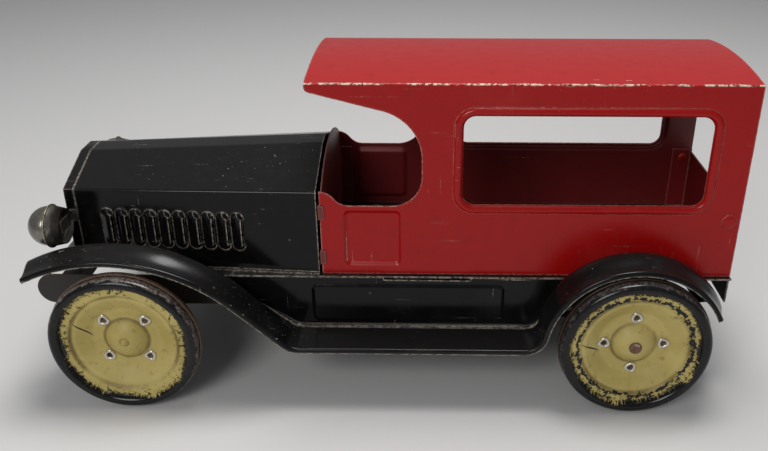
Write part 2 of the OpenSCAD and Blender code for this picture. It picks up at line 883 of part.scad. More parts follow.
module wheel_back(x, side, turn) {
    color("#6b4a33")
        wheel_turned(x, side)
            difference() {
                rotate_extrude($fn = round_fn)
                    polygon([[axle_r, 0], [wheel_r - 3, 0], [wheel_r, 1.6], [wheel_r, 4.4],
                        [tyre_r, 4.4], [tyre_r, 2], [wheel_r - 3.3, sheet_t], [axle_r, sheet_t]]);
                eyelet_spots(turn)
                    translate([0, 0, -over])
                        cylinder(h = 4 * sheet_t, r = eyelet_r + rivet_clear, $fn = 32);
            }
}

module wheel_hub(x, side) {
    color("#55504a")
        wheel_turned(x, side)
            difference() {
                translate([0, 0, sheet_t])
                    cylinder(h = disc_h - 2 * sheet_t, r = axle_r + 2.6, $fn = round_fn);
                cylinder(h = wheel_t, r = axle_r, $fn = round_fn);
            }
}

// Hollow rivets that clench the face to the back
module wheel_eyelets(x, side, turn) {
    color("#a9a48c")
        wheel_turned(x, side)
            eyelet_spots(turn)
                difference() {
                    union() {
                        translate([0, 0, -0.5])
                            cylinder(h = disc_h + 1, r = eyelet_r, $fn = 32);
                        translate([0, 0, disc_h])
                            cylinder(h = 0.6, r = eyelet_r + 1, $fn = 32);
                        translate([0, 0, -0.6])
                            cylinder(h = 0.6, r = eyelet_r + 0.8, $fn = 32);
                    }
                    translate([0, 0, -over])
                        cylinder(h = disc_h + 3, r = eyelet_r - 0.7, $fn = 32);
                }
}

// ---- Friction drive ----

module friction_wheel() {
    color("#5c5648")
        difference() {
            union() {
                rod(rear_x, axle_z, drive_y, drive_y + drive_w, drive_r);
                rod(rear_x, axle_z, drive_y - 3, drive_y + drive_w, axle_r + 4);
            }
            difference() {
                rod(rear_x, axle_z, drive_y - over, drive_y + drive_w / 2 - 1, drive_r - 4);
                rod(rear_x, axle_z, drive_y - 2 * over, drive_y + drive_w, axle_r + 4);
            }
            rod(rear_x, axle_z, drive_y - 4, drive_y + drive_w + over, axle_r);
        }
}

module flywheel() {
    web = (fly_w - fly_web) / 2;
    color("#3d3f42")
        difference() {
            rod(arbor_x, axle_z, fly_y, fly_y + fly_w, fly_r);
            for (y = [fly_y - over, fly_y + fly_w - web])
                difference() {
                    rod(arbor_x, axle_z, y, y + web + over, fly_r - 6);
                    rod(arbor_x, axle_z, y - over, y + web + 2 * over, arbor_r + 3);
                }
            rod(arbor_x, axle_z, fly_y - over, fly_y + fly_w + over, arbor_r);
        }
}

module flywheel_arbor() {
    outer_y = motor_y + motor_t + 1.5;
    color("silver") {
        rod(arbor_x, axle_z, -motor_y + side_play, motor_y - side_play, arbor_r);
        rod(arbor_x, axle_z, -outer_y, outer_y, journal_r);
    }
}

// A side plate of the drive's frame, with a top flange riveted under the deck
module motor_plate() {
    difference() {
        union() {
            slab(-motor_y - motor_t, -motor_y)
                translate([plate_x0, plate_z0])
                    rounded_rect(plate_x1 - plate_x0, rail_top - plate_z0, 3);
            block(plate_x0 + 3, plate_x1 - 3, -motor_y - motor_flange, -motor_y,
                rail_top - motor_t, rail_top);
        }
        rod(rear_x, axle_z, -motor_y - 2 * motor_t, -motor_y + over, axle_r + run_clear);
        rod(arbor_x, axle_z, -motor_y - 2 * motor_t, -motor_y + over, journal_r + run_clear);
        rod(pillar_x, pillar_z, -motor_y - 2 * motor_t, -motor_y + over, pillar_r + rivet_clear);
        rivet_holes(motor_rivet_xs, motor_rivet_y);
    }
}

module left_motor_plate() {
    color("#6d6a60")
        motor_plate();
}

module right_motor_plate() {
    color("#6d6a60")
        mirror([0, 1, 0])
            motor_plate();
}

module motor_pillars() {
    z = pillar_z;
    color("#8d8a80") {
        rod(pillar_x, z, -motor_y, motor_y, pillar_r + 1);
        rod(pillar_x, z, -motor_y - motor_t - 0.2, motor_y + motor_t + 0.2, pillar_r);
        both_sides()
            rod(pillar_x, z, -motor_y - motor_t - 1, -motor_y - motor_t, pillar_r + 0.8);
    }
}

cab_shell();
dash_panel();
tail_panel();
cab_rivets();
hood_shell();
radiator_shell();
radiator_core();
lamp_dome(-1);  // left_lamp_dome
lamp_dome(1);  // right_lamp_dome
lamp_back(-1);  // left_lamp_back
lamp_back(1);  // right_lamp_back
lamp_bracket(-1);  // left_lamp_bracket
lamp_bracket(1);  // right_lamp_bracket
front_apron();
deck();
left_fender_board();
right_fender_board();
left_rail();
right_rail();
front_crossmember();
mid_crossmember();
rail_rivets();
left_motor_plate();
right_motor_plate();
motor_pillars();
motor_rivets();
front_axle();
spacers(front_x);  // front_spacers
wheel_face(front_x, -1, 45);  // front_left_wheel_face
wheel_back(front_x, -1, 45);  // front_left_wheel_back
wheel_hub(front_x, -1);  // front_left_hub
wheel_eyelets(front_x, -1, 45);  // front_left_eyelets
wheel_face(front_x, 1, 45);  // front_right_wheel_face
wheel_back(front_x, 1, 45);  // front_right_wheel_back
wheel_hub(front_x, 1);  // front_right_hub
wheel_eyelets(front_x, 1, 45);  // front_right_eyelets
rear_axle();
spacers(rear_x);  // rear_spacers
wheel_face(rear_x, -1, 0);  // rear_left_wheel_face
wheel_back(rear_x, -1, 0);  // rear_left_wheel_back
wheel_hub(rear_x, -1);  // rear_left_hub
wheel_eyelets(rear_x, -1, 0);  // rear_left_eyelets
wheel_face(rear_x, 1, 0);  // rear_right_wheel_face
wheel_back(rear_x, 1, 0);  // rear_right_wheel_back
wheel_hub(rear_x, 1);  // rear_right_hub
wheel_eyelets(rear_x, 1, 0);  // rear_right_eyelets
friction_wheel();
flywheel();
flywheel_arbor();
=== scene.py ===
import math

import bmesh
import bpy
from mathutils import Matrix, Vector


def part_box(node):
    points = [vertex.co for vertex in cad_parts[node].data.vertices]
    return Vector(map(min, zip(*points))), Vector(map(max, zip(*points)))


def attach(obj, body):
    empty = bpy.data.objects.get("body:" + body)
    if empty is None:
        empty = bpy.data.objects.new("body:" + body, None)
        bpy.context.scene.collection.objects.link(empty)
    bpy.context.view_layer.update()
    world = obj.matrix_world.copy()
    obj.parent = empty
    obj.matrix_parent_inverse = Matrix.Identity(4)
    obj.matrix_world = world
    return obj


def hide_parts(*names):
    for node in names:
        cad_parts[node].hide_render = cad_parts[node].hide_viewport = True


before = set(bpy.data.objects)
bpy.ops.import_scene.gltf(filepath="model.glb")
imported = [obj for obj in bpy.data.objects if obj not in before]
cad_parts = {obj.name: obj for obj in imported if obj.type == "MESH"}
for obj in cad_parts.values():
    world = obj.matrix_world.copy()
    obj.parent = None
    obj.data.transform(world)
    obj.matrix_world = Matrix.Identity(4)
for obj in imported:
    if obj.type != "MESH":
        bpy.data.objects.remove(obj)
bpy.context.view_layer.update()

# ---- Camera ----
# The eye stands ahead of the cab on the van's left, above the roof, and looks
# down on the whole side. It is placed from the middle of the front axle.

axle_low, axle_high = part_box("front_axle")
camera_data = bpy.data.cameras.new("camera")
camera_data.lens = 39.3
camera_data.shift_x = -0.044
camera_data.shift_y = 0.0154
camera_data.clip_start = 0.01
camera = bpy.data.objects.new("camera", camera_data)
camera.location = (axle_low + axle_high) / 2 + Vector((0.161, -0.4444, 0.2473))
camera.rotation_euler = (math.radians(63.4), 0, math.radians(1.01))
bpy.context.scene.collection.objects.link(camera)
bpy.context.scene.camera = camera

# ---- Floor and light ----
# A plain pale sheet under the van, a large soft box overhead, a weaker one at the
# front left, and an even grey surround for the gloss to reflect.

floor_mesh = bpy.data.meshes.new("floor")
floor_bm = bmesh.new()
bmesh.ops.create_grid(floor_bm, x_segments=1, y_segments=1, size=4)
floor_bm.to_mesh(floor_mesh)
floor_bm.free()
floor = bpy.data.objects.new("floor", floor_mesh)
bpy.context.scene.collection.objects.link(floor)
floor_paint = bpy.data.materials.new("pale_floor")
floor_paint.use_nodes = True
floor_paint.node_tree.nodes["Principled BSDF"].inputs["Base Color"].default_value = (0.62, 0.61, 0.6, 1)
floor_paint.node_tree.nodes["Principled BSDF"].inputs["Roughness"].default_value = 0.9
floor_mesh.materials.append(floor_paint)

surround = bpy.data.worlds.new("surround")
surround.use_nodes = True
surround.node_tree.nodes["Background"].inputs["Color"].default_value = (0.55, 0.56, 0.58, 1)
surround.node_tree.nodes["Background"].inputs["Strength"].default_value = 0.38
bpy.context.scene.world = surround
bpy.context.scene.view_settings.view_transform = "Standard"


def soft_box(name, place, aim, size, power):
    """A square area light at place, turned to face aim."""
    light = bpy.data.lights.new(name, "AREA")
    light.size = size
    light.energy = power
    holder = bpy.data.objects.new(name, light)
    holder.location = place
    holder.rotation_euler = (Vector(aim) - Vector(place)).to_track_quat("-Z", "Y").to_euler()
    bpy.context.scene.collection.objects.link(holder)


soft_box("top_light", (0.1, 0.15, 1.2), (0, 0, 0.08), 0.5, 10.5)
soft_box("front_light", (-0.5, -1.2, 0.9), (0, 0, 0.08), 0.6, 8.5)

# ---- Cab ----
# One pressed-steel sheet folded into two sides and a low arched roof, open at the
# front, back and floor. The window rims and door panels are pressed into it, and
# it is sprayed brick red outside. Inside it has a darker, duller red: painted shade
# for the interior.

SHEET = 0.8
LEFT = (0, 1, 0)


def span(name):
    """Lowest and highest corner of a piece of the frame, in millimetres."""
    low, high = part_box(name)
    return low * 1000, high * 1000


def sweep(bm, geom, *moves):
    """Draws geom along a route and returns its last copy. A move is a vector to run
    along, or (centre, axis, degrees, steps) to swing around."""
    for move in moves:
        if len(move) == 4:
            centre, axis, degrees, steps = move
            drawn = bmesh.ops.spin(bm, geom=geom, cent=centre, axis=axis, dvec=(0, 0, 0),
                angle=math.radians(degrees), steps=steps, use_merge=False)
        else:
            drawn = bmesh.ops.spin(bm, geom=geom, cent=(0, 0, 0), axis=(0, 0, 1), dvec=move,
                angle=0, steps=1, use_merge=False)
        geom = drawn["geom_last"]
    return geom


def trace(bm, start, *moves):
    """A line drawn from start. A move is a point to run to, or a swing as in sweep.
    Returns the line's edges."""
    known = set(bm.edges)
    tip = bm.verts.new(start)
    for move in moves:
        step = move if len(move) == 4 else tuple(Vector(move) - tip.co)
        last = sweep(bm, [tip], step)
        tip = [part for part in last if isinstance(part, bmesh.types.BMVert)][0]
    return [edge for edge in bm.edges if edge not in known]


def whole(bm):
    return bm.verts[:] + bm.edges[:] + bm.faces[:]


def ends_of(edges):
    return list({vert for edge in edges for vert in edge.verts})


def weld(bm, verts=None):
    bmesh.ops.remove_doubles(bm, verts=verts or bm.verts[:], dist=0.002)


def rounded_loop(bm, low, high, radius, y, steps=6):
    """A closed rounded rectangle between two corners (x, z), in the plane at y."""
    x0, z0 = low
    x1, z1 = high
    known = set(bm.edges)
    line = trace(bm, (x0 + radius, y, z0),
        (x1 - radius, y, z0), ((x1 - radius, y, z0 + radius), LEFT, -90, steps),
        (x1, y, z1 - radius), ((x1 - radius, y, z1 - radius), LEFT, -90, steps),
        (x0 + radius, y, z1), ((x0 + radius, y, z1 - radius), LEFT, -90, steps),
        (x0, y, z0 + radius), ((x0 + radius, y, z0 + radius), LEFT, -90, steps))
    weld(bm, ends_of(line))
    return [edge for edge in bm.edges if edge not in known]


def pressed(bm, low, high, radius, y, section, closed):
    """Presses a rounded shape out of a sheet: section lists (margin, depth) from the
    sheet inwards. Returns the outermost loop, for the sheet to be cut around it."""
    outer = None
    before = None
    for margin, depth in section:
        loop = rounded_loop(bm, (low[0] - margin, low[1] - margin),
            (high[0] + margin, high[1] + margin), radius + margin, y + depth)
        if before:
            bmesh.ops.bridge_loops(bm, edges=before + loop)
        outer = outer or loop
        before = loop
    if closed:
        bmesh.ops.contextual_create(bm, geom=before)
    return outer


def cosine(degrees):
    return math.cos(math.radians(degrees))


def sine(degrees):
    return math.sin(math.radians(degrees))


def easing(width, height):
    """Radius and degrees of the two equal arcs of an S that falls height over width."""
    degrees = 2 * math.degrees(math.atan2(height, width))
    return width / (2 * sine(degrees)), degrees


def piece(name, bm, body, finishes, stands_for, thick=0, soft=0.2, inner=0):
    """Turns a mesh in millimetres into a finished piece that rides on a body. A sheet
    gets its thickness inwards, and cut edges and folds are softened."""
    mesh = bpy.data.meshes.new(name)
    bmesh.ops.scale(bm, vec=(0.001, 0.001, 0.001), verts=bm.verts)
    for face in bm.faces:
        face.smooth = True
    bm.to_mesh(mesh)
    bm.free()
    made = bpy.data.objects.new(name, mesh)
    bpy.context.scene.collection.objects.link(made)
    for finish in finishes:
        mesh.materials.append(finish)
    if thick:
        wall = made.modifiers.new("wall", "SOLIDIFY")
        wall.thickness = thick / 1000
        wall.offset = -1
        wall.use_even_offset = True
        wall.material_offset = inner
    if soft:
        edge = made.modifiers.new("soft_edge", "BEVEL")
        edge.width = soft / 1000
        edge.segments = 2
        edge.limit_method = "ANGLE"
        edge.angle_limit = math.radians(38)
        edge.use_clamp_overlap = True
        shading = made.modifiers.new("even_shading", "WEIGHTED_NORMAL")
        shading.keep_sharp = True
    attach(made, body)
    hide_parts(*stands_for)


def add(tree, kind, inputs=(), **settings):
    """A node with its settings, and its inputs linked or set."""
    node = tree.nodes.new(kind)
    for key, value in settings.items():
        setattr(node, key, value)
    for key, value in dict(inputs).items():
        if isinstance(value, bpy.types.NodeSocket):
            tree.links.new(value, node.inputs[key])
        else:
            node.inputs[key].default_value = value
    return node


def calc(tree, operation, first, second, clamp=False):
    node = add(tree, "ShaderNodeMath", {0: first, 1: second}, operation=operation, use_clamp=clamp)
    return node.outputs[0]


def times(tree, first, second):
    return calc(tree, "MULTIPLY", first, second)


def plus(tree, first, second):
    return calc(tree, "ADD", first, second)


def vector_calc(tree, operation, first, second=(0, 0, 0)):
    """Vector arithmetic. A length or a dot product comes out as a number."""
    node = add(tree, "ShaderNodeVectorMath", {0: first, 1: second}, operation=operation)
    return node.outputs["Value" if operation in ("LENGTH", "DOT_PRODUCT") else "Vector"]


def cloud(tree, coords, size, detail=3, stretch=(1, 1, 1), turn=(0, 0, 0), roughness=0.55):
    """Cloudy grain about size millimetres across, stretched along the axes."""
    placed = add(tree, "ShaderNodeMapping", {
        "Vector": coords,
        "Rotation": [math.radians(angle) for angle in turn],
        "Scale": [1 / part for part in stretch],
    })
    noise = add(tree, "ShaderNodeTexNoise", {
        "Vector": placed.outputs[0], "Scale": 1000 / size, "Detail": detail, "Roughness": roughness,
    })
    return noise.outputs[0]


def cut(tree, value, low, high):
    """0 below low, 1 above high, and a soft step between them."""
    ramp = add(tree, "ShaderNodeMapRange", {"Value": value, "From Min": low, "From Max": high},
        interpolation_type="SMOOTHSTEP")
    return ramp.outputs[0]


def tint(tree, factor, first, second):
    mix = add(tree, "ShaderNodeMix", {0: factor, 6: first, 7: second}, data_type="RGBA")
    return mix.outputs[2]


def worn_edges(tree, radius, low, high):
    """1 where a fold or a cut edge lies within radius millimetres."""
    rounded = add(tree, "ShaderNodeBevel", {"Radius": radius / 1000}, samples=6)
    true = add(tree, "ShaderNodeNewGeometry")
    facing = vector_calc(tree, "DOT_PRODUCT", rounded.outputs[0], true.outputs["Normal"])
    return cut(tree, calc(tree, "SUBTRACT", 1, facing), low, high)


def facing_up(tree, low, high):
    """1 on surfaces that lie flat, which gather a dusting and take a painted sheen."""
    normal = add(tree, "ShaderNodeNewGeometry").outputs["Normal"]
    return cut(tree, add(tree, "ShaderNodeSeparateXYZ", {0: normal}).outputs[2], low, high)


def enamel(name, paint, faded_and_painted_sheen, bare, shade, gloss, wear, scratch, chips, metal=0, bruised=None, sheen=0.5):
    """Old stove enamel: a clouded gloss coat, paler on top from dusting and a painted sheen,
    worn to bare metal along edges and where bruised says, paler on edges and beads partly as
    a painted highlight, with fine scratches and small chips."""
    material = bpy.data.materials.new(name)
    material.use_nodes = True
    tree = material.node_tree
    shader = tree.nodes["Principled BSDF"]
    coords = add(tree, "ShaderNodeTexCoord").outputs["Object"]
    broad = cloud(tree, coords, 70, 4)
    fine = cloud(tree, coords, 7, 5)
    grain = cloud(tree, coords, 1.6, 3)
    # Upward faces take the paler colour: dust, and partly a painted sheen of the overhead light.
    up_dust_and_painted_sheen = times(tree, facing_up(tree, 0.6, 0.97), 0.45)
    fade_dust_and_painted_sheen = calc(tree, "MAXIMUM", cut(tree, broad, 0.5, 0.85), up_dust_and_painted_sheen)
    coat = tint(tree, fade_dust_and_painted_sheen, paint, faded_and_painted_sheen)
    coat = tint(tree, times(tree, cut(tree, fine, 0.5, 0.8), 0.3), coat, shade)
    # Edges, folds and bead crests go part way to bare metal: worn paint, and partly a painted highlight on
    # the window beads.
    worn_edge_and_painted_highlight = times(tree, worn_edges(tree, 1.6, 0.03, 0.25), 0.3)
    coat = tint(tree, worn_edge_and_painted_highlight, coat, bare)

    edge = worn_edges(tree, 0.8, 0.008, 0.1)
    edge = times(tree, edge, cut(tree, fine, 0.62 - wear, 0.7 - wear))
    patches = cut(tree, cloud(tree, coords, 38, 2), 0.5, 0.62)
    lines = cloud(tree, coords, 1.1, 2, (60, 1.2, 1), (0, 14, 0))
    crossed = cloud(tree, coords, 1.0, 2, (1, 1.5, 40), (0, -38, 12))
    scratched = calc(tree, "MAXIMUM", cut(tree, lines, 0.72 - scratch, 0.76 - scratch),
        cut(tree, crossed, 0.73 - scratch, 0.77 - scratch))
    scratched = times(tree, times(tree, scratched, patches), 0.6)
    flake = cloud(tree, coords, 4, 4, (1.8, 1, 1), (0, 20, 0), 0.7)
    if bruised:
        flake = plus(tree, flake, times(tree, bruised(tree, coords), 0.13))
    flaked = cut(tree, flake, 0.76 - chips, 0.775 - chips)
    worn = calc(tree, "MAXIMUM", calc(tree, "MAXIMUM", edge, scratched), flaked)

    bared = tint(tree, cut(tree, grain, 0.36, 0.6), shade, bare)
    tree.links.new(tint(tree, worn, coat, bared), shader.inputs["Base Color"])
    rough = plus(tree, times(tree, fine, 0.16), gloss - 0.08)
    rough = plus(tree, rough, times(tree, fade_dust_and_painted_sheen, 0.12))
    rough = calc(tree, "ADD", rough, times(tree, worn, 0.25), True)
    tree.links.new(rough, shader.inputs["Roughness"])
    shader.inputs["Specular IOR Level"].default_value = sheen
    if metal:
        shader.inputs["Metallic"].default_value = metal
    else:
        tree.links.new(times(tree, worn, 0.45), shader.inputs["Metallic"])
    height = calc(tree, "SUBTRACT", times(tree, grain, 0.1), worn)
    height = plus(tree, height, times(tree, fine, 0.3))
    bump = add(tree, "ShaderNodeBump", {"Height": height, "Strength": 0.2, "Distance": 0.0002})
    tree.links.new(bump.outputs[0], shader.inputs["Normal"])
    return material


def near_roof_fold(tree, coords):
    """1 beside the fold between the roof and the sides, where the van was knocked most,
    and more on the fold itself, where the enamel is nearly gone."""
    place = add(tree, "ShaderNodeSeparateXYZ", {0: coords}).outputs
    out = calc(tree, "ABSOLUTE", place[1], 0)
    side = side_y / 1000
    top = roof_z / 1000
    fold_low = fold_z / 1000
    beside = cut(tree, out, side - 0.012, side - 0.001)
    beside = times(tree, beside, cut(tree, place[2], top - 0.005, top - 0.0005))
    fold = cut(tree, out, side - 0.0012, side - 0.0008)
    fold = times(tree, fold, cut(tree, place[2], fold_low, fold_low + 0.0003))
    return plus(tree, beside, times(tree, fold, 1.4))


cab_low, cab_high = span("cab_shell")
tail_high = span("tail_panel")[1]
visor_reach = 4.5
sill_h = 40.2
cowl_h = 48
door_l = 53.5
window_margin = 21
window_h = 47.6
door_panel_l = 28
door_panel_gap = 13.5
deck_z = cab_low.z
side_y = tail_high.y + SHEET
cab_back = cab_high.x
visor_x = cab_low.x
cab_front = visor_x + visor_reach
roof_crown = 3.6
roof_z = cab_high.z - roof_crown
sill_z = deck_z + sill_h
cowl_z = deck_z + cowl_h
door_back = cab_front + door_l
window_low = (door_back + window_margin, sill_z + 1.2)
window_high = (cab_back - window_margin, window_low[1] + window_h)
door_panel_low = (cab_front + door_panel_gap, sill_z - 34)
door_panel_high = (door_panel_low[0] + door_panel_l, sill_z - 4)
fold_r = 0.95
roof_r = (side_y ** 2 + roof_crown ** 2) / (2 * roof_crown)
roof_centre = (visor_x, 0, cab_high.z - roof_r)
fold_z = roof_centre[2] + math.sqrt((roof_r - fold_r) ** 2 - (side_y - fold_r) ** 2)
roof_half = math.degrees(math.asin((side_y - fold_r) / (roof_r - fold_r)))

red = enamel("brick_red", (0.36, 0.004, 0.004, 1), (0.42, 0.03, 0.03, 1), (0.62, 0.5, 0.4, 1),
    (0.2, 0.006, 0.005, 1), 0.26, 0.28, 0.045, 0.0, bruised=near_roof_fold, sheen=0.28)
# The inner faces get a darker copy of the red, a painted shade for the interior.
red_inside_painted_shade = enamel("red_inside_painted_shade", (0.15, 0.008, 0.009, 1), (0.17, 0.014, 0.014, 1),
    (0.36, 0.24, 0.2, 1), (0.05, 0.008, 0.008, 1), 0.45, 0.05, 0.02, 0.02)


def cab_side(bm):
    """The left side, with its window rim and door panel."""
    y = -side_y
    low_r = 15.9
    top_r = 26
    top_turn = 74
    visor_r = 3
    visor_drop = 4.2
    sweep_l = 15.5
    sweep_r, sweep_turn = easing(sweep_l, cowl_z - sill_z)
    top_x = door_back - top_r + top_r * cosine(top_turn)
    top_z = sill_z + top_r + top_r * sine(top_turn)
    slope = math.atan2(roof_z - visor_drop - top_z, top_x - visor_x)
    tip_x = visor_x + visor_r * (1 - math.sin(slope))
    tip_z = top_z + (top_x - tip_x) * math.tan(slope)
    tip_c = (visor_x + visor_r, y, tip_z + visor_r * math.cos(slope))
    trace(bm, (cab_front, y, deck_z),
        (cab_front, y, cowl_z),
        ((cab_front, y, cowl_z - sweep_r), LEFT, sweep_turn, 5),
        ((cab_front + sweep_l, y, sill_z + sweep_r), LEFT, -sweep_turn, 5),
        (door_back - low_r, y, sill_z),
        ((door_back - low_r, y, sill_z + low_r), LEFT, -90, 10),
        (door_back, y, sill_z + top_r),
        ((door_back - top_r, y, sill_z + top_r), LEFT, -top_turn, 12),
        (tip_x, y, tip_z),
        (tip_c, LEFT, 90 - math.degrees(slope), 5),
        (visor_x, y, fold_z), (cab_back, y, fold_z), (cab_back, y, deck_z), (cab_front, y, deck_z))
    weld(bm)
    outline = bm.edges[:]
    rim_section = [(6, 0), (5.4, 0.15), (4.8, 0), (4.5, -0.7), (4, -1.3), (3.2, -1.65),
        (2.5, -1.75), (1.7, -1.6), (0.9, -1), (0.3, 0), (0, 0.9)]
    rim = pressed(bm, window_low, window_high, 6, y, rim_section, False)
    panel_section = [(1.8, 0), (1.1, 0.2), (0.2, 1.1), (-0.8, 1.7), (-1.6, 1.8)]
    panel = pressed(bm, door_panel_low, door_panel_high, 2, y, panel_section, True)
    bmesh.ops.triangle_fill(bm, edges=outline + rim + panel, use_beauty=True, normal=(0, -1, 0))


cab_bm = bmesh.new()
cab_side(cab_bm)
bmesh.ops.mirror(cab_bm, geom=whole(cab_bm), axis="Y", merge_dist=0)
roof_line = trace(cab_bm, (visor_x, -side_y, fold_z),
    ((visor_x, fold_r - side_y, fold_z), (1, 0, 0), roof_half - 90, 4),
    (roof_centre, (1, 0, 0), -2 * roof_half, 20),
    ((visor_x, side_y - fold_r, fold_z), (1, 0, 0), roof_half - 90, 4))
sweep(cab_bm, roof_line + ends_of(roof_line), (cab_back - visor_x, 0, 0))
weld(cab_bm)
bmesh.ops.recalc_face_normals(cab_bm, faces=cab_bm.faces)
piece("cab_body", cab_bm, "chassis", [red, red_inside_painted_shade], ["cab_shell"],
    thick=SHEET, soft=0.2, inner=1)

# ---- Dash and tail panel ----
# The dash is a flat pressed sheet with an arched top, held to the sides by tabs
# that are bent round their front edges. The tail panel closes the lower back with
# two side flanges. Both keep their flat shape, with softened edges.


def copied(node):
    """A copy of a piece of the frame in millimetres, with its loose triangles joined."""
    bm = bmesh.new()
    bm.from_mesh(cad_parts[node].data)
    bmesh.ops.scale(bm, vec=(1000, 1000, 1000), verts=bm.verts)
    weld(bm)
    bmesh.ops.dissolve_limit(bm, angle_limit=math.radians(1), verts=bm.verts, edges=bm.edges)
    return bm


def softened(name, node, body, finish, soft):
    """A piece of the frame as it is, with its sharp edges rounded off."""
    piece(name, copied(node), body, [finish], [node], soft=soft)


dash_red = enamel("dash_red", (0.15, 0.016, 0.014, 1), (0.19, 0.04, 0.028, 1), (0.4, 0.33, 0.26, 1),
    (0.07, 0.03, 0.018, 1), 0.45, 0.1, 0.03, 0.06)
softened("dash_board", "dash_panel", "chassis", dash_red, 0.2)
tail_red = enamel("tail_red", (0.19, 0.008, 0.009, 1), (0.24, 0.02, 0.02, 1), (0.55, 0.42, 0.34, 1),
    (0.08, 0.008, 0.008, 1), 0.4, 0.14, 0.03, 0.02)
softened("tail_board", "tail_panel", "chassis", tail_red, 0.25)

# ---- Cab rivets ----
# Two wide, low steel rivets hold the tail panel's flanges to the cab's sides. Their
# heads were sprayed with the cab and show metal around the rim.


def turned(bm, centre, axis, steps=96):
    """Turns the line drawn in bm a full round about an axis, and closes the seam."""
    bmesh.ops.spin(bm, geom=bm.verts[:] + bm.edges[:], cent=centre, axis=axis, dvec=(0, 0, 0),
        angle=math.radians(360), steps=steps, use_merge=True)
    weld(bm)
    bmesh.ops.recalc_face_normals(bm, faces=bm.faces)


def both_hands(bm):
    """Adds the mirror image on the van's right."""
    bmesh.ops.mirror(bm, geom=whole(bm), axis="Y", merge_dist=0)
    bmesh.ops.recalc_face_normals(bm, faces=bm.faces)


rivet_low, rivet_high = span("cab_rivets")
rivet_x = (rivet_low.x + rivet_high.x) / 2
rivet_z = (rivet_low.z + rivet_high.z) / 2
head_r = (rivet_high.x - rivet_low.x) / 2
rivet_bm = bmesh.new()
trace(rivet_bm, (rivet_x, rivet_low.y - 0.3, rivet_z),
    (rivet_x + head_r * 0.5, rivet_low.y - 0.25, rivet_z),
    (rivet_x + head_r * 0.85, rivet_low.y + 0.05, rivet_z),
    (rivet_x + head_r, rivet_low.y + 0.5, rivet_z),
    (rivet_x + head_r, 0.05 - side_y, rivet_z),
    (rivet_x + 1.6, 0.05 - side_y, rivet_z),
    (rivet_x + 1.6, 2 * SHEET - side_y, rivet_z),
    (rivet_x + 2.6, 2 * SHEET - side_y, rivet_z),
    (rivet_x + 2.3, 2 * SHEET + 0.8 - side_y, rivet_z),
    (rivet_x, 2 * SHEET + 0.95 - side_y, rivet_z))
turned(rivet_bm, (rivet_x, 0, rivet_z), (0, 1, 0), 40)
both_hands(rivet_bm)
piece("cab_rivet_pair", rivet_bm, "chassis", [red], ["cab_rivets"], soft=0)

# ---- Hood ----
# A folded sheet with flat sides, two sloping leaves and a flat crown, sprayed black.
# Ten louvres are lanced and pushed out of each side, each open at its back edge, and
# a narrow foot flange is spot-welded to the deck.

black = enamel("gloss_black", (0.003, 0.003, 0.0035, 1), (0.022, 0.02, 0.019, 1), (0.62, 0.55, 0.46, 1),
    (0.02, 0.015, 0.012, 1), 0.15, 0.32, 0.03, 0.03, sheen=0.22)

hood_high = span("hood_shell")[1]
radiator_low, radiator_high = span("radiator_shell")
front_x = (axle_low.x + axle_high.x) * 500
axle_z = (axle_low.z + axle_high.z) * 500
hood_x0 = radiator_high.x
hood_x1 = hood_high.x
front_half = radiator_high.y
crown_half = 7.3
front_shoulder = deck_z + 44.4
front_crown = radiator_high.z
rear_shoulder = deck_z + 47.6
rear_crown = hood_high.z
crown_r = 95.7
crown_gap = 6.9
crown_x = front_x - 5.7
crown_z = 2 * axle_z + crown_gap - crown_r
inner_fall = 8
tray_r = crown_r - inner_fall
tray_turn = math.degrees(math.asin((deck_z - crown_z) / tray_r))
tray_end = crown_x + tray_r * cosine(tray_turn)
foot_z = deck_z + SHEET
foot_w = 1.8
taper = math.atan2(side_y - front_half, hood_x1 - hood_x0)
louvres = 10
louvre_pitch = 7.9
louvre_l = 4.6
louvre_h = 19.3
louvre_gap = 1.6


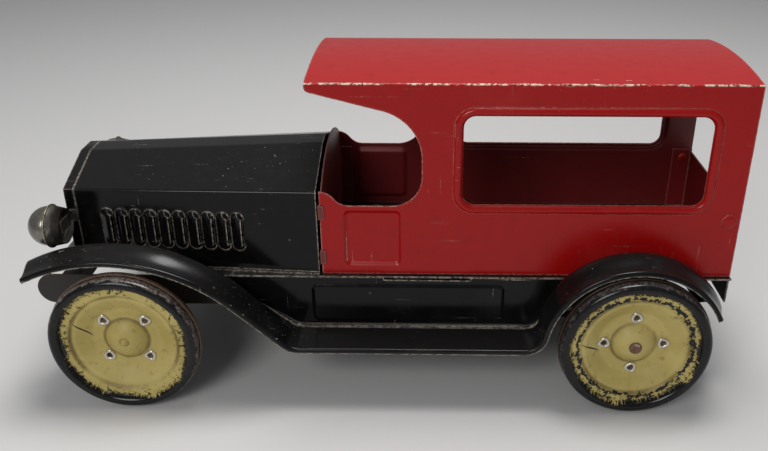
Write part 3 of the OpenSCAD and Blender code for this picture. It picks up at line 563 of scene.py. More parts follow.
def hood_side(bm):
    """The left side drawn flat from its front edge, with ten louvres pushed out."""
    length = (hood_x1 - hood_x0) / math.cos(taper)
    foot_turn = math.degrees(math.asin((foot_z - crown_z) / tray_r))
    front_turn = math.degrees(math.acos((hood_x0 - crown_x) / tray_r))
    arc_c = (crown_x - hood_x0, 0, crown_z)
    foot_x = arc_c[0] + tray_r * cosine(foot_turn)
    first_x = front_x - 15 - hood_x0 - louvre_gap
    band_low = crown_z + tray_r + 0.3
    band_high = band_low + louvre_h + 1.2
    band_wide = louvres * louvre_pitch
    trace(bm, (foot_x, 0, foot_z),
        (arc_c, LEFT, foot_turn - front_turn, 14),
        (0, 0, front_shoulder), (length, 0, rear_shoulder), (length, 0, foot_z), (foot_x, 0, foot_z))
    weld(bm)
    bmesh.ops.contextual_create(bm, geom=bm.edges[:])
    for height in (band_low, band_high):
        bmesh.ops.bisect_plane(bm, geom=whole(bm), plane_co=(0, 0, height), plane_no=(0, 0, 1))
    for number in range(louvres + 1):
        band = [face for face in bm.faces if band_low < face.calc_center_median().z < band_high]
        band_edges = list({edge for face in band for edge in face.edges})
        bmesh.ops.bisect_plane(bm, geom=band + band_edges + ends_of(band_edges),
            plane_co=(first_x + louvre_pitch * number, 0, 0), plane_no=(1, 0, 0))
    cells = [face for face in bm.faces if 0 < face.calc_center_median().x - first_x < band_wide
        and band_low < face.calc_center_median().z < band_high]
    borders = [(face.calc_center_bounds().x, face.edges[:]) for face in cells]
    bmesh.ops.delete(bm, geom=cells, context="FACES_ONLY")
    for middle, border in borders:
        x = middle - louvre_pitch / 2 + louvre_gap
        low = (x, band_low + 0.6)
        outer = rounded_loop(bm, low, (x + louvre_l, low[1] + louvre_h), 2.2, 0, 5)
        ridge = rounded_loop(bm, (x + 1.1, low[1] + 1), (x + 4.5, low[1] + louvre_h - 1), 1.6, -0.75, 5)
        crest = rounded_loop(bm, (x + 2.4, low[1] + 2), (x + 4.3, low[1] + louvre_h - 1.8), 0.9, -1.3, 5)
        bmesh.ops.bridge_loops(bm, edges=border + outer)
        walls = bmesh.ops.bridge_loops(bm, edges=outer + ridge)["faces"]
        walls += bmesh.ops.bridge_loops(bm, edges=ridge + crest)["faces"]
        bmesh.ops.contextual_create(bm, geom=crest)
        slit = [wall for wall in walls if wall.calc_center_median().x > x + louvre_l - 0.3
            and abs(wall.calc_center_median().z - low[1] - louvre_h / 2) < louvre_h / 2 - 3]
        bmesh.ops.delete(bm, geom=slit, context="FACES")


def arch(bm, x, half, shoulder, crown, foot=None):
    """A line across the hood at x, over its shoulders and crown, and down to a foot."""
    line = [(x, -half, shoulder), (x, -crown_half, crown), (x, crown_half, crown), (x, half, shoulder)]
    if foot:
        line = [(x, -half, foot), *line, (x, half, foot)]
    return trace(bm, *line)


hood_bm = bmesh.new()
hood_side(hood_bm)
flange = [edge for edge in hood_bm.edges
    if edge.is_boundary and all(abs(vert.co.z - foot_z) < 0.01 for vert in edge.verts)]
flange = [part for part in bmesh.ops.extrude_edge_only(hood_bm, edges=flange)["geom"]
    if isinstance(part, bmesh.types.BMVert)]
bmesh.ops.translate(hood_bm, vec=(0, -foot_w, 0), verts=flange)
bmesh.ops.rotate(hood_bm, cent=(0, 0, 0), matrix=Matrix.Rotation(-taper, 3, "Z"), verts=hood_bm.verts)
bmesh.ops.translate(hood_bm, vec=(hood_x0, -front_half, 0), verts=hood_bm.verts)
bmesh.ops.mirror(hood_bm, geom=whole(hood_bm), axis="Y", merge_dist=0)
front_line = arch(hood_bm, hood_x0, front_half, front_shoulder, front_crown)
rear_line = arch(hood_bm, hood_x1, side_y, rear_shoulder, rear_crown)
bmesh.ops.bridge_loops(hood_bm, edges=front_line + rear_line)
weld(hood_bm)
bmesh.ops.recalc_face_normals(hood_bm, faces=hood_bm.faces)
folds = [edge for edge in hood_bm.edges if len(edge.link_faces) == 2
    and abs(edge.verts[0].co.x - edge.verts[1].co.x) > 100 and edge.calc_face_angle() > math.radians(5)]
bmesh.ops.bevel(hood_bm, geom=folds, offset=1.1, segments=3, profile=0.5, affect="EDGES", material=-1)
piece("hood", hood_bm, "chassis", [black], ["hood_shell"], thick=SHEET)

# ---- Radiator ----
# A black shell like a slice of the hood, its front edge turned in around a dull core
# with upright ribs.

radiator_bm = bmesh.new()
case_foot = deck_z + 4
case_lip = 2.2
radiator_line = arch(radiator_bm, radiator_low.x, front_half - case_lip, front_shoulder - 1.4,
    front_crown - case_lip, case_foot)
radiator_edge = arch(radiator_bm, radiator_low.x, front_half, front_shoulder, front_crown, case_foot)
bmesh.ops.bridge_loops(radiator_bm, edges=radiator_line + radiator_edge)
sweep(radiator_bm, radiator_edge + ends_of(radiator_edge), (radiator_high.x - radiator_low.x, 0, 0))
weld(radiator_bm)
tray_slope = math.asin((radiator_low.x - crown_x) / tray_r)
tray_front = crown_z + tray_r * math.cos(tray_slope)
bmesh.ops.bisect_plane(radiator_bm, geom=whole(radiator_bm),
    plane_co=(radiator_low.x, 0, tray_front), plane_no=(math.sin(tray_slope), 0, math.cos(tray_slope)),
    clear_inner=True)
bmesh.ops.recalc_face_normals(radiator_bm, faces=radiator_bm.faces)
piece("radiator_case", radiator_bm, "chassis", [black], ["radiator_shell"],
    thick=SHEET, soft=0.3)
core_black = enamel("core_black", (0.03, 0.028, 0.022, 1), (0.06, 0.052, 0.036, 1),
    (0.3, 0.26, 0.18, 1), (0.05, 0.035, 0.02, 1), 0.5, 0.12, 0.02, 0.06)
ribs_bm = copied("radiator_core")
bmesh.ops.translate(ribs_bm, vec=(0, 0, -inner_fall),
    verts=[vert for vert in ribs_bm.verts if vert.co.z < tray_front + inner_fall + 3])
piece("radiator_ribs", ribs_bm, "chassis", [core_black], ["radiator_core"], soft=0.25)

# ---- Headlamps ----
# Two pressed lamps with plated domes, rubbed and spotted with old paint, a rolled
# rim, a tapered black back, and a strip bracket to the radiator's side.

lamp_metal = enamel("lamp_metal", (0.22, 0.21, 0.19, 1), (0.3, 0.26, 0.19, 1), (0.6, 0.5, 0.3, 1),
    (0.02, 0.02, 0.022, 1), 0.26, 0.3, 0.05, 0.1, metal=0.85)
lamp_black = enamel("lamp_black", (0.03, 0.028, 0.024, 1), (0.07, 0.06, 0.045, 1),
    (0.55, 0.48, 0.33, 1), (0.06, 0.04, 0.025, 1), 0.4, 0.2, 0.03, 0.06)

for side in ("left", "right"):
    dome_low, dome_high = span(side + "_lamp_dome")
    back_low, back_high = span(side + "_lamp_back")
    lamp_y = (dome_low.y + dome_high.y) / 2
    lamp_z = (dome_low.z + dome_high.z) / 2
    lamp_r = (dome_high.z - dome_low.z) / 2
    rim_x = dome_high.x
    bead_r = 0.6
    dome_r = lamp_r - 2 * bead_r
    depth = rim_x - dome_low.x
    ball_r = (dome_r ** 2 + depth ** 2) / (2 * depth)
    ball_turn = math.degrees(math.acos((ball_r - depth) / ball_r))
    dome_bm = bmesh.new()
    trace(dome_bm, (dome_low.x, lamp_y, lamp_z),
        ((dome_low.x + ball_r, lamp_y, lamp_z), (0, 1, 0), ball_turn, 16),
        ((rim_x, lamp_y, lamp_z + dome_r + bead_r), (0, 1, 0), 230, 8))
    turned(dome_bm, (rim_x, lamp_y, lamp_z), (1, 0, 0), 64)
    piece(side + "_lamp_front", dome_bm, "chassis", [lamp_metal],
        [side + "_lamp_dome"], thick=0.5, soft=0)
    back_bm = bmesh.new()
    back_r = 5
    trace(back_bm, (back_low.x, lamp_y, lamp_z + lamp_r - 0.7),
        (back_low.x + 0.9, lamp_y, lamp_z + lamp_r - 0.6),
        (back_high.x - 1.2, lamp_y, lamp_z + back_r + 1.4),
        (back_high.x, lamp_y, lamp_z + back_r), (back_high.x, lamp_y, lamp_z))
    turned(back_bm, (rim_x, lamp_y, lamp_z), (1, 0, 0), 64)
    piece(side + "_lamp_shell", back_bm, "chassis", [lamp_black],
        [side + "_lamp_back"], thick=0.6, soft=0.3)
    softened(side + "_lamp_strip", side + "_lamp_bracket", "chassis", lamp_black, 0.25)

# ---- Fenders, running boards and aprons ----
# Each side is one long pressing: the front fender runs down into the running board
# and up over the rear wheel. Its outer edge is rolled under, a bead stiffens its
# inner fold, and the apron stands up from it to the deck with a raised panel.

rear_low, rear_high = span("rear_axle")
deck_high = span("deck")[1]
fender_low = span("left_fender_board")[0]
rear_x = (rear_low.x + rear_high.x) / 2
board_z = axle_z - 4
apron_in = deck_high.y
apron_out = apron_in + SHEET
lip_y = -fender_low.y
ridge_h = 3
ridge_at = 0.36
ridge_end = 0.92
slope_turn = 42.5
edge_turn = math.degrees(math.acos((fender_low.x - crown_x) / crown_r))
bend_r = 10
bend_z = board_z + bend_r
slope_x = crown_x + crown_r * sine(slope_turn)
slope_z = crown_z + crown_r * cosine(slope_turn)
bend_x = slope_x + (bend_r - (bend_z - slope_z) * cosine(slope_turn)) / sine(slope_turn)
bend_start = (bend_x - bend_r * sine(slope_turn), 0, bend_z - bend_r * cosine(slope_turn))
rear_r = axle_z + 8.4
rear_z = axle_z - 4.4
rise_x = rear_x - math.sqrt((rear_r + bend_r) ** 2 - (bend_z - rear_z) ** 2)
rise_turn = math.degrees(math.atan2(rear_z - board_z - bend_r, rear_x - rise_x))
tail_turn = 25
board_bend = ((bend_x, 0, bend_z), LEFT, -slope_turn, 10)
board_rise = ((rise_x, 0, bend_z), LEFT, -90 - rise_turn, 14)


def fender_route():
    """The moves of a section from the foot of the front slope to the rear fender's tail."""
    return [
        tuple(Vector(bend_start) - Vector((slope_x, 0, slope_z))), board_bend,
        (rise_x - bend_x, 0, 0), board_rise,
        ((rear_x, 0, rear_z), LEFT, 180 + rise_turn - tail_turn, 48),
    ]


def settle(verts):
    """Shapes both fenders across: the inner edge goes down by inner_fall and a ridge rises
    by ridge_h. Both ease out along the front slope and in along the rise to the rear."""
    tangent_x = rise_x + bend_r * cosine(rise_turn)
    full_x = rear_x - rear_r * cosine(45)
    for vert in verts:
        x, y, z = vert.co
        across = min(1, max(0, (abs(y) - apron_out) / (lip_y - apron_out)))
        if across < ridge_at:
            height = (inner_fall + ridge_h) * math.sin(math.pi / 2 * across / ridge_at) - inner_fall
        else:
            past = min(1, (across - ridge_at) / (ridge_end - ridge_at))
            height = ridge_h * math.cos(math.pi / 2 * past) ** 2
        if x < slope_x:
            out = Vector((x - crown_x, 0, z - crown_z))
        elif x < bend_start[0]:
            out = Vector((slope_x - crown_x, 0, slope_z - crown_z))
            height *= 1 - (x - slope_x) / (bend_start[0] - slope_x)
        else:
            height *= min(1, max(0, (x - rise_x) / (full_x - rise_x)))
            up_rise = Vector((rise_x - x, 0, bend_z - z))
            out = up_rise if x < tangent_x else Vector((x - rear_x, 0, z - rear_z))
        vert.co += out.normalized() * height


def crosswise(bm, points):
    """A section drawn from (y, height) points, at the top of the front fender."""
    return trace(bm, *[(crown_x, y, crown_z + crown_r + height) for y, height in points])


def fender_side():
    """The left fender and running board with their inner bead, and the strip between the
    rear fender and the cab."""
    bm = bmesh.new()
    inner = -apron_in
    outer = -lip_y
    across = [(inner - 1.4 * step, 0) for step in range(17)]
    lip = [(outer + 2.6, -0.1), (outer + 2, 0.1), (outer + 1.3, 0.1), (outer + 0.6, -0.2),
        (outer + 0.1, -0.9), (outer, -2.6)]
    sheet = crosswise(bm, across + lip)
    front_turn = edge_turn - 90
    bmesh.ops.rotate(bm, cent=(crown_x, 0, crown_z), verts=bm.verts,
        matrix=Matrix.Rotation(math.radians(-front_turn), 3, "Y"))
    crown = ((crown_x, 0, crown_z), LEFT, front_turn + slope_turn, 36)
    sweep(bm, sheet + ends_of(sheet), crown, *fender_route())
    known = set(bm.verts)
    bead = crosswise(bm, [(inner - 3.2, 0.1), (inner - 2.9, 0.75), (inner - 2.1, 1.15), (inner - 1.4, 1),
        (inner - 0.9, 0.5)])
    bead_turn = 8
    bmesh.ops.rotate(bm, cent=(crown_x, 0, crown_z), verts=[vert for vert in bm.verts if vert not in known],
        matrix=Matrix.Rotation(math.radians(slope_turn - bead_turn), 3, "Y"))
    sweep(bm, bead + ends_of(bead), ((crown_x, 0, crown_z), LEFT, bead_turn, 6), *fender_route())
    settle(bm.verts)
    low_r = rear_r - inner_fall
    over_turn = math.degrees(math.asin((deck_z - rear_z) / (low_r - SHEET)))
    start_x = rear_x - low_r * cosine(over_turn)
    start_z = rear_z + low_r * sine(over_turn)
    inner_strip = trace(bm, (start_x, -side_y - 0.3, start_z), (start_x, inner, start_z))
    sweep(bm, inner_strip + ends_of(inner_strip), ((rear_x, 0, rear_z), LEFT, 180 - 2 * over_turn, 32))
    weld(bm)
    bmesh.ops.recalc_face_normals(bm, faces=bm.faces)
    return bm


def apron_sheet():
    """The left apron, a flat sheet between the deck and the fender, with its raised panel."""
    bm = bmesh.new()
    y = -apron_out
    notch_x = front_x + 136
    notch_l = 46
    notch_h = 1.8
    deck_turn = math.degrees(math.asin((deck_z - rear_z) / (rear_r - inner_fall)))
    trace(bm, (crown_x + crown_r * cosine(tray_turn), y, crown_z + crown_r * sine(tray_turn)),
        ((crown_x, y, crown_z), LEFT, tray_turn - (90 - slope_turn), 3),
        (bend_start[0], y, bend_start[2]), ((bend_x, y, bend_z), LEFT, -slope_turn, 10),
        (rise_x, y, board_z), ((rise_x, y, bend_z), LEFT, -90 - rise_turn, 14),
        ((rear_x, y, rear_z), LEFT, deck_turn + rise_turn, 10))
    settle(bm.verts)
    first = min(bm.verts, key=lambda vert: vert.co.x)
    last = max(bm.verts, key=lambda vert: vert.co.x)
    first.co.z = deck_z
    last.co.z = deck_z
    trace(bm, last.co,
        (notch_x + notch_l + 1, y, deck_z), (notch_x + notch_l, y, deck_z - notch_h),
        (notch_x, y, deck_z - notch_h), (notch_x - 0.4, y, deck_z), first.co)
    weld(bm)
    outline = bm.edges[:]
    low = (front_x + 97, board_z + 3.4)
    high = (rise_x - 10, deck_z - notch_h - 2.8)
    panel = pressed(bm, low, high, 3, y, [(0.8, 0), (0.2, -0.15), (-0.9, -0.85), (-1.8, -1.0)], True)
    bmesh.ops.triangle_fill(bm, edges=outline + panel, use_beauty=True, normal=(0, -1, 0))
    bmesh.ops.recalc_face_normals(bm, faces=bm.faces)
    if sum(face.normal.y * face.calc_area() for face in bm.faces) > 0:
        bmesh.ops.reverse_faces(bm, faces=bm.faces)
    return bm


def join(bm, other):
    """Adds the mesh of other to bm, and frees other."""
    spare = bpy.data.meshes.new("spare")
    other.to_mesh(spare)
    other.free()
    bm.from_mesh(spare)
    bpy.data.meshes.remove(spare)


for side, hand in (("left", 1), ("right", -1)):
    fender_bm = fender_side()
    join(fender_bm, apron_sheet())
    bmesh.ops.scale(fender_bm, vec=(1, hand, 1), verts=fender_bm.verts)
    if hand < 0:
        bmesh.ops.reverse_faces(fender_bm, faces=fender_bm.faces)
    piece(side + "_fender", fender_bm, "chassis", [black],
        [side + "_fender_board"], thick=SHEET)

# ---- Deck and front apron ----
# A flat black sheet under the cab, turned down at the back, and a curved one that
# fills the space between the front fenders.

softened("deck_sheet", "deck", "chassis", black, 0.35)
tray_bm = bmesh.new()
tray_high = span("front_apron")[1]
tray_line = trace(tray_bm, (tray_high.x - 0.2, -apron_in - 0.1, deck_z - 0.1),
    (tray_end, -apron_in - 0.1, deck_z - 0.1),
    ((crown_x, 0, crown_z), LEFT, tray_turn - edge_turn, 40))
sweep(tray_bm, tray_line + ends_of(tray_line), (0, 2 * apron_in + 0.2, 0))
bmesh.ops.recalc_face_normals(tray_bm, faces=tray_bm.faces)
if sum(face.normal.z for face in tray_bm.faces) < 0:
    bmesh.ops.reverse_faces(tray_bm, faces=tray_bm.faces)
piece("front_tray", tray_bm, "chassis", [black], ["front_apron"], thick=SHEET)

# ---- Frame ----
# Two plate rails with round horns and axle ears, joined by two channels and riveted
# under the deck. The black is thin here and rust comes through it.

rusty = enamel("rusty_black", (0.014, 0.011, 0.009, 1), (0.04, 0.022, 0.013, 1), (0.2, 0.1, 0.055, 1),
    (0.05, 0.022, 0.01, 1), 0.4, 0.2, 0.02, 0.08)
steel = enamel("dull_steel", (0.3, 0.28, 0.25, 1), (0.2, 0.17, 0.14, 1), (0.5, 0.47, 0.42, 1),
    (0.12, 0.07, 0.04, 1), 0.42, 0.2, 0.06, 0.06, metal=0.9)
for name, node in (("left_frame_rail", "left_rail"), ("right_frame_rail", "right_rail"),
        ("front_cross_channel", "front_crossmember"), ("mid_cross_channel", "mid_crossmember")):
    softened(name, node, "chassis", rusty, 0.2)
softened("frame_rivets", "rail_rivets", "chassis", steel, 0.3)

# ---- Wheels ----
# A wheel is two pressings clenched by four hollow rivets: a dished face with a domed
# hub and a round tyre, and a larger plain back that rolls on the floor. The disc is
# flaking cream enamel, the tyre is gloss black, and the front backs are brown rust.


def wheel_finish(name, middle_x, scar_turn, crest_wear_and_painted_highlight, chipped):
    """Cream on the disc and black on the tyre, both from the distance to the axle. The
    scar is one deep scratch, chipped the loss past the step, and the argument after scar_turn
    the strength of the tyre's pale crest band: wear and partly a painted highlight."""
    material = bpy.data.materials.new(name)
    material.use_nodes = True
    tree = material.node_tree
    shader = tree.nodes["Principled BSDF"]
    coords = add(tree, "ShaderNodeTexCoord").outputs["Object"]
    centred = add(tree, "ShaderNodeMapping", {
        "Vector": coords, "Location": (-middle_x / 1000, 0, -axle_z / 1000),
    }).outputs[0]
    flat = vector_calc(tree, "MULTIPLY", centred, (1, 0, 1))
    radius = vector_calc(tree, "LENGTH", flat)
    around = vector_calc(tree, "NORMALIZE", flat)
    spokes = vector_calc(tree, "MULTIPLY", around, (0.05, 1, 0.05))
    along = vector_calc(tree, "MULTIPLY", flat, (0.25, 1, 0.25))
    polar = vector_calc(tree, "ADD", spokes, along)

    broad = cloud(tree, coords, 26, 4)
    fine = cloud(tree, coords, 4, 5)
    strokes = cloud(tree, polar, 1.4, 3, roughness=0.7)
    flecks = cloud(tree, coords, 1.9, 4, roughness=0.75)
    cream = tint(tree, cut(tree, broad, 0.36, 0.68), (0.52, 0.42, 0.145, 1), (0.42, 0.33, 0.1, 1))
    cream = tint(tree, cut(tree, fine, 0.56, 0.84), cream, (0.22, 0.15, 0.045, 1))
    step_r = 0.0284
    step = calc(tree, "ABSOLUTE", calc(tree, "SUBTRACT", radius, step_r), 0)
    hollow = calc(tree, "ABSOLUTE", calc(tree, "SUBTRACT", radius, 0.0118), 0)
    # Darker brown in a thin ring at the step and round the hub's foot, patched by broad clouds.
    crease_darkening = calc(tree, "MAXIMUM", cut(tree, step, 0.0018, 0.0002), cut(tree, hollow, 0.0014, 0.0001))
    crease_darkening = times(tree, crease_darkening, cut(tree, broad, 0.3, 0.62))
    cream = tint(tree, times(tree, crease_darkening, 0.75), cream, (0.11, 0.075, 0.025, 1))

    ragged = times(tree, calc(tree, "SUBTRACT", strokes, 0.5), 0.007)
    uneven = times(tree, calc(tree, "SUBTRACT", broad, 0.5), 0.011)
    border = plus(tree, plus(tree, radius, ragged), uneven)
    painted = cut(tree, border, 0.0334, 0.0329)
    near_rim = cut(tree, plus(tree, radius, uneven), 0.026, 0.034)
    pitted = cut(tree, plus(tree, flecks, times(tree, near_rim, 0.15)), 0.67, 0.69)
    turned_to = add(tree, "ShaderNodeMapping", {
        "Vector": centred, "Rotation": (0, math.radians(scar_turn), 0), "Location": (0.018, 0, 0.0135),
    }).outputs[0]
    scar = vector_calc(tree, "LENGTH", vector_calc(tree, "MULTIPLY", turned_to, (0.14, 0, 2.2)))
    scar = cut(tree, plus(tree, scar, times(tree, fine, 0.0006)), 0.0014, 0.0009)
    painted = times(tree, painted, calc(tree, "SUBTRACT", 1, calc(tree, "MAXIMUM", pitted, scar)))
    waver = calc(tree, "SUBTRACT", fine, 0.5)
    past_step = plus(tree, radius, times(tree, waver, 0.006))
    lost = times(tree, cut(tree, past_step, step_r, 0.0292), cut(tree, past_step, 0.0335, 0.0296))
    lost = cut(tree, plus(tree, times(tree, lost, chipped), flecks), 0.7, 0.74)
    painted = times(tree, painted, calc(tree, "SUBTRACT", 1, lost))

    edge = times(tree, worn_edges(tree, 1.2, 0.02, 0.2), cut(tree, fine, 0.42, 0.55))
    # The pale band round the tyre's crest is worn metal and partly a painted highlight on the tyre.
    crest = cut(tree, plus(tree, radius, times(tree, waver, 0.004)), 0.0384, 0.0391)
    worn = calc(tree, "MAXIMUM", edge, times(tree, crest, crest_wear_and_painted_highlight))
    tyre = tint(tree, cut(tree, flecks, 0.45, 0.75), (0.005, 0.005, 0.006, 1), (0.018, 0.016, 0.015, 1))
    worn_and_highlight_colour = tint(tree, cut(tree, flecks, 0.4, 0.6), (0.1, 0.055, 0.035, 1), (0.4, 0.36, 0.32, 1))
    tyre = tint(tree, worn, tyre, worn_and_highlight_colour)
    tree.links.new(tint(tree, painted, tyre, cream), shader.inputs["Base Color"])
    shader.inputs["Specular IOR Level"].default_value = 0.3
    rough = plus(tree, 0.1, times(tree, painted, 0.28))
    rough = plus(tree, rough, times(tree, fine, 0.15))
    tree.links.new(rough, shader.inputs["Roughness"])
    height = plus(tree, painted, times(tree, flecks, 0.3))
    bump = add(tree, "ShaderNodeBump", {"Height": height, "Strength": 0.35, "Distance": 0.0002})
    tree.links.new(bump.outputs[0], shader.inputs["Normal"])
    return material


rust = enamel("brown_rust", (0.13, 0.06, 0.032, 1), (0.2, 0.1, 0.055, 1), (0.42, 0.33, 0.27, 1),
    (0.05, 0.028, 0.02, 1), 0.5, 0.25, 0.05, 0.12)
eyelet_metal = enamel("eyelet_metal", (0.62, 0.58, 0.5, 1), (0.5, 0.43, 0.3, 1), (0.8, 0.77, 0.7, 1),
    (0.16, 0.12, 0.06, 1), 0.24, 0.3, 0.02, 0.04, metal=0.7)
# Dark brown for the floor and wall inside each rivet's hole: painted shade for the hole's depth.
hole_painted_shade = enamel("eyelet_hole_painted_shade", (0.09, 0.06, 0.025, 1), (0.07, 0.045, 0.02, 1), (0.1, 0.07, 0.04, 1),
    (0.01, 0.008, 0.006, 1), 0.6, 0.1, 0.0, 0.0)

ROUND = (0, 0, 1)
back_y = span("front_left_wheel_back")[1].y
rim_r = axle_z
axle_r = 2.4
tyre_side = rim_r - SHEET
tyre_edge = 2.2
disc_r = 33.5
disc_h = 7.4
band_h = disc_h + 1.2
hub_r = 11.5
hub_h = 5
dish = 5
floor_h = disc_h - dish
hub_in = 3.6
eyelet_at = 15.5
eyelet_scale = 1.12
hole_r = 1.3


def on_wheel(middle_x, radius, height):
    """A point on a left wheel: its distance from the axle, and out from the back plate."""
    return (middle_x + radius, back_y - height, axle_z)


def wheel_face_line(bm, x):
    """Section of the face: hub dome, fillet, sunk floor, slope, step, band and tyre."""
    ball = ((hub_r - axle_r) ** 2 + hub_h ** 2) / (2 * hub_h)
    ball_h = floor_h + hub_h - ball
    fillet = 1.6
    fillet_r = axle_r + math.sqrt((ball + fillet) ** 2 - (floor_h + fillet - ball_h) ** 2)
    turn = math.degrees(math.atan2(fillet_r - axle_r, floor_h + fillet - ball_h))
    ease_l = 2.6
    ease_r, ease_turn = easing(ease_l, band_h - disc_h)
    step = 26
    slope_start = 18.5
    bow_r = 4
    bow_turn = math.degrees(math.atan2(dish, step - slope_start))
    bow = bow_r * math.tan(math.radians(bow_turn / 2))
    tyre_r = (tyre_side - disc_r) / 2
    trace(bm, on_wheel(x, axle_r, floor_h + hub_h),
        (on_wheel(x, axle_r, ball_h), ROUND, turn, 10),
        (on_wheel(x, fillet_r, floor_h + fillet), ROUND, -turn, 4),
        on_wheel(x, slope_start - bow, floor_h),
        (on_wheel(x, slope_start - bow, floor_h + bow_r), ROUND, -bow_turn, 5),
        on_wheel(x, step - bow * cosine(bow_turn), disc_h - bow * sine(bow_turn)),
        (on_wheel(x, step + bow, disc_h - bow_r), ROUND, bow_turn, 5),
        (on_wheel(x, step + bow, disc_h + ease_r), ROUND, -ease_turn, 4),
        (on_wheel(x, step + bow + ease_l, band_h - ease_r), ROUND, ease_turn, 4),
        on_wheel(x, disc_r - 0.5, band_h),
        (on_wheel(x, disc_r - 0.5, band_h + 0.5), ROUND, -80, 3),
        on_wheel(x, disc_r + 0.1, band_h + 1),
        (on_wheel(x, disc_r + tyre_r, band_h), ROUND, 158, 14),
        on_wheel(x, tyre_side, tyre_edge))


def wheel(end, side, middle_x, body, finish, back_finish):
    """Face, back plate and rivets of one wheel. Right wheels are the left ones mirrored."""
    hand = 1 if side == "left" else -1
    node = f"{end}_{side}_"

    def set_wheel_piece(name, bm, finishes, stands_for, thick):
        if hand < 0:
            bmesh.ops.scale(bm, vec=(1, -1, 1), verts=bm.verts)
            bmesh.ops.reverse_faces(bm, faces=bm.faces)
        piece(node + name, bm, body, finishes, [node + stands_for], thick=thick, soft=0)

    face_bm = bmesh.new()
    wheel_face_line(face_bm, middle_x)
    turned(face_bm, (middle_x, 0, axle_z), LEFT)
    set_wheel_piece("disc", face_bm, [finish], "wheel_face", SHEET)

    back_bm = bmesh.new()
    trace(back_bm, on_wheel(middle_x, axle_r, 0), on_wheel(middle_x, 30, 0),
        (on_wheel(middle_x, 30, 3), ROUND, 18, 2), on_wheel(middle_x, rim_r - 2.6, 0.75),
        (on_wheel(middle_x, rim_r - 2.4, 3.15), ROUND, 80, 6),
        on_wheel(middle_x, rim_r, 4.6), on_wheel(middle_x, rim_r - 0.3, 5.2),
        on_wheel(middle_x, tyre_side + 0.05, 5.2), on_wheel(middle_x, tyre_side + 0.05, tyre_edge))
    turned(back_bm, (middle_x, 0, axle_z), LEFT)
    set_wheel_piece("back_plate", back_bm, [back_finish], "wheel_back", 0.5)

    eyelet_bm = bmesh.new()
    first = 45 if end == "front" else 0
    seat = floor_h + 0.2
    lift = floor_h + 0.3
    for number in range(4):
        angle = math.radians(first + 90 * number)
        ring = bmesh.new()
        trace(ring, on_wheel(0, 0.01, seat), on_wheel(0, hole_r, seat), on_wheel(0, hole_r, lift),
            (on_wheel(0, 2.1, lift), ROUND, 180, 8), on_wheel(0, 2.9, floor_h - 0.2))
        turned(ring, (0, 0, axle_z), LEFT, 24)
        # Faces inside the hole take the second finish, a painted shade for the hole.
        for face in ring.faces:
            reach = max(math.hypot(vert.co.x, vert.co.z - axle_z) for vert in face.verts)
            face.material_index = int(reach < hole_r + 0.01)
        for vert in ring.verts:
            lobe = 1 + 0.1 * math.cos(3 * math.atan2(vert.co.z - axle_z, vert.co.x) + number)
            vert.co.x *= lobe * eyelet_scale
            vert.co.z = axle_z + (vert.co.z - axle_z) * lobe * eyelet_scale
        bmesh.ops.translate(ring, verts=ring.verts,
            vec=(middle_x + eyelet_at * math.cos(angle), 0, eyelet_at * math.sin(angle)))
        join(eyelet_bm, ring)
    set_wheel_piece("rivets", eyelet_bm, [eyelet_metal, hole_painted_shade], "eyelets", 0.3)


front_cream = wheel_finish("front_cream", front_x, -53, 0.4, 0.08)
rear_cream = wheel_finish("rear_cream", rear_x, -32, 0.15, 0.3)
for side in ("left", "right"):
    wheel("front", side, front_x, "front_wheels", front_cream, rust)
    wheel("rear", side, rear_x, "rear_wheels", rear_cream, rusty)

# ---- Axles ----
# Steel rods through the wheels. The front one is pinched to a blunt point past each
# hub, and the rear one is riveted over a washer.


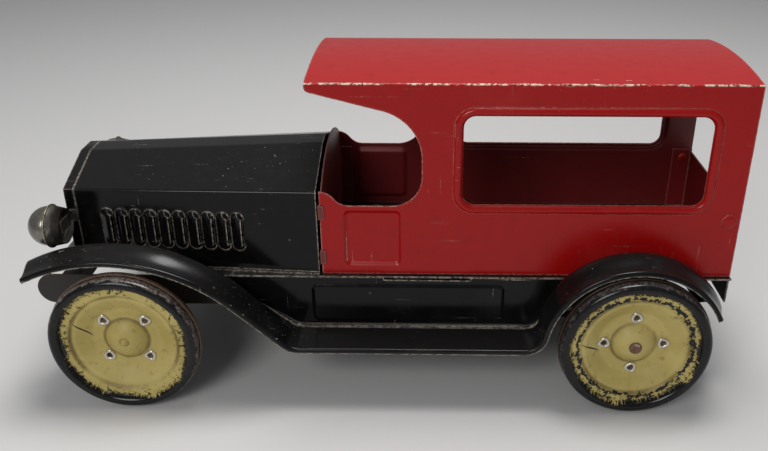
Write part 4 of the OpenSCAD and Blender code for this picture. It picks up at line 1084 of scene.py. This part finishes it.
def axle(name, node, body, middle_x, end_finish, end_y, tip):
    """A rod whose left end follows tip, a list of (radius, distance in from the end), and
    is mirrored to the right. Past the wheel's face it has the end finish."""
    bm = bmesh.new()
    points = [(middle_x + radius, inward - end_y, axle_z) for radius, inward in tip]
    trace(bm, *points, (middle_x + axle_r, 0, axle_z))
    turned(bm, (middle_x, 0, axle_z), LEFT, 48)
    both_hands(bm)
    weld(bm)
    for face in bm.faces:
        face.material_index = int(abs(face.calc_center_median().y) > end_y - tip[-1][1] - 0.01)
    piece(name, bm, body, [steel, end_finish], [node], soft=0)


axle("front_rod", "front_axle", "front_wheels", front_x, front_cream, axle_high.y * 1000 - hub_in,
    [(0, 0), (0.7, 0.1), (1.2, 0.8), (2.1, 1.5), (axle_r, 2.2)])
axle("rear_rod", "rear_axle", "rear_wheels", rear_x, rust, rear_high.y - hub_in,
    [(0, 0.5), (1.2, 0.4), (1.5, 0), (axle_r, 0), (3, 0.3), (3.3, 0.8), (3.3, 1.4), (axle_r, 1.4)])
for end, body in (("front", "front_wheels"), ("rear", "rear_wheels")):
    softened(end + "_spacer_tubes", end + "_spacers", body, steel, 0.2)
    for side in ("left", "right"):
        hub = f"{end}_{side}_hub"
        hub_bm = copied(hub)
        hub_ends = [vert for vert in hub_bm.verts if abs(vert.co.y) > abs(back_y) + disc_h / 2]
        bmesh.ops.translate(hub_bm, vec=(0, hub_in if side == "left" else -hub_in, 0), verts=hub_ends)
        piece(hub + "_tube", hub_bm, body, [steel], [hub], soft=0.2)

# ---- Friction drive ----
# Two steel plates under the deck carry the rear axle and a slim arbor. A cast wheel
# on the axle rolls against the arbor and spins a heavy cast flywheel.

iron = enamel("cast_iron", (0.06, 0.06, 0.064, 1), (0.1, 0.085, 0.07, 1), (0.26, 0.25, 0.24, 1),
    (0.09, 0.05, 0.03, 1), 0.55, 0.3, 0.0, 0.1)
for name, node, body, slot, finish in (
        ("left_drive_plate", "left_motor_plate", "chassis", "bare_steel", steel),
        ("right_drive_plate", "right_motor_plate", "chassis", "bare_steel", steel),
        ("drive_pillar", "motor_pillars", "chassis", "bare_steel", steel),
        ("drive_rivets", "motor_rivets", "chassis", "bare_steel", steel),
        ("drive_wheel", "friction_wheel", "rear_wheels", "cast_iron", iron),
        ("heavy_flywheel", "flywheel", "flywheel_set", "cast_iron", iron),
        ("arbor", "flywheel_arbor", "flywheel_set", "bare_steel", steel)):
    softened(name, node, body, finish, 0.25)
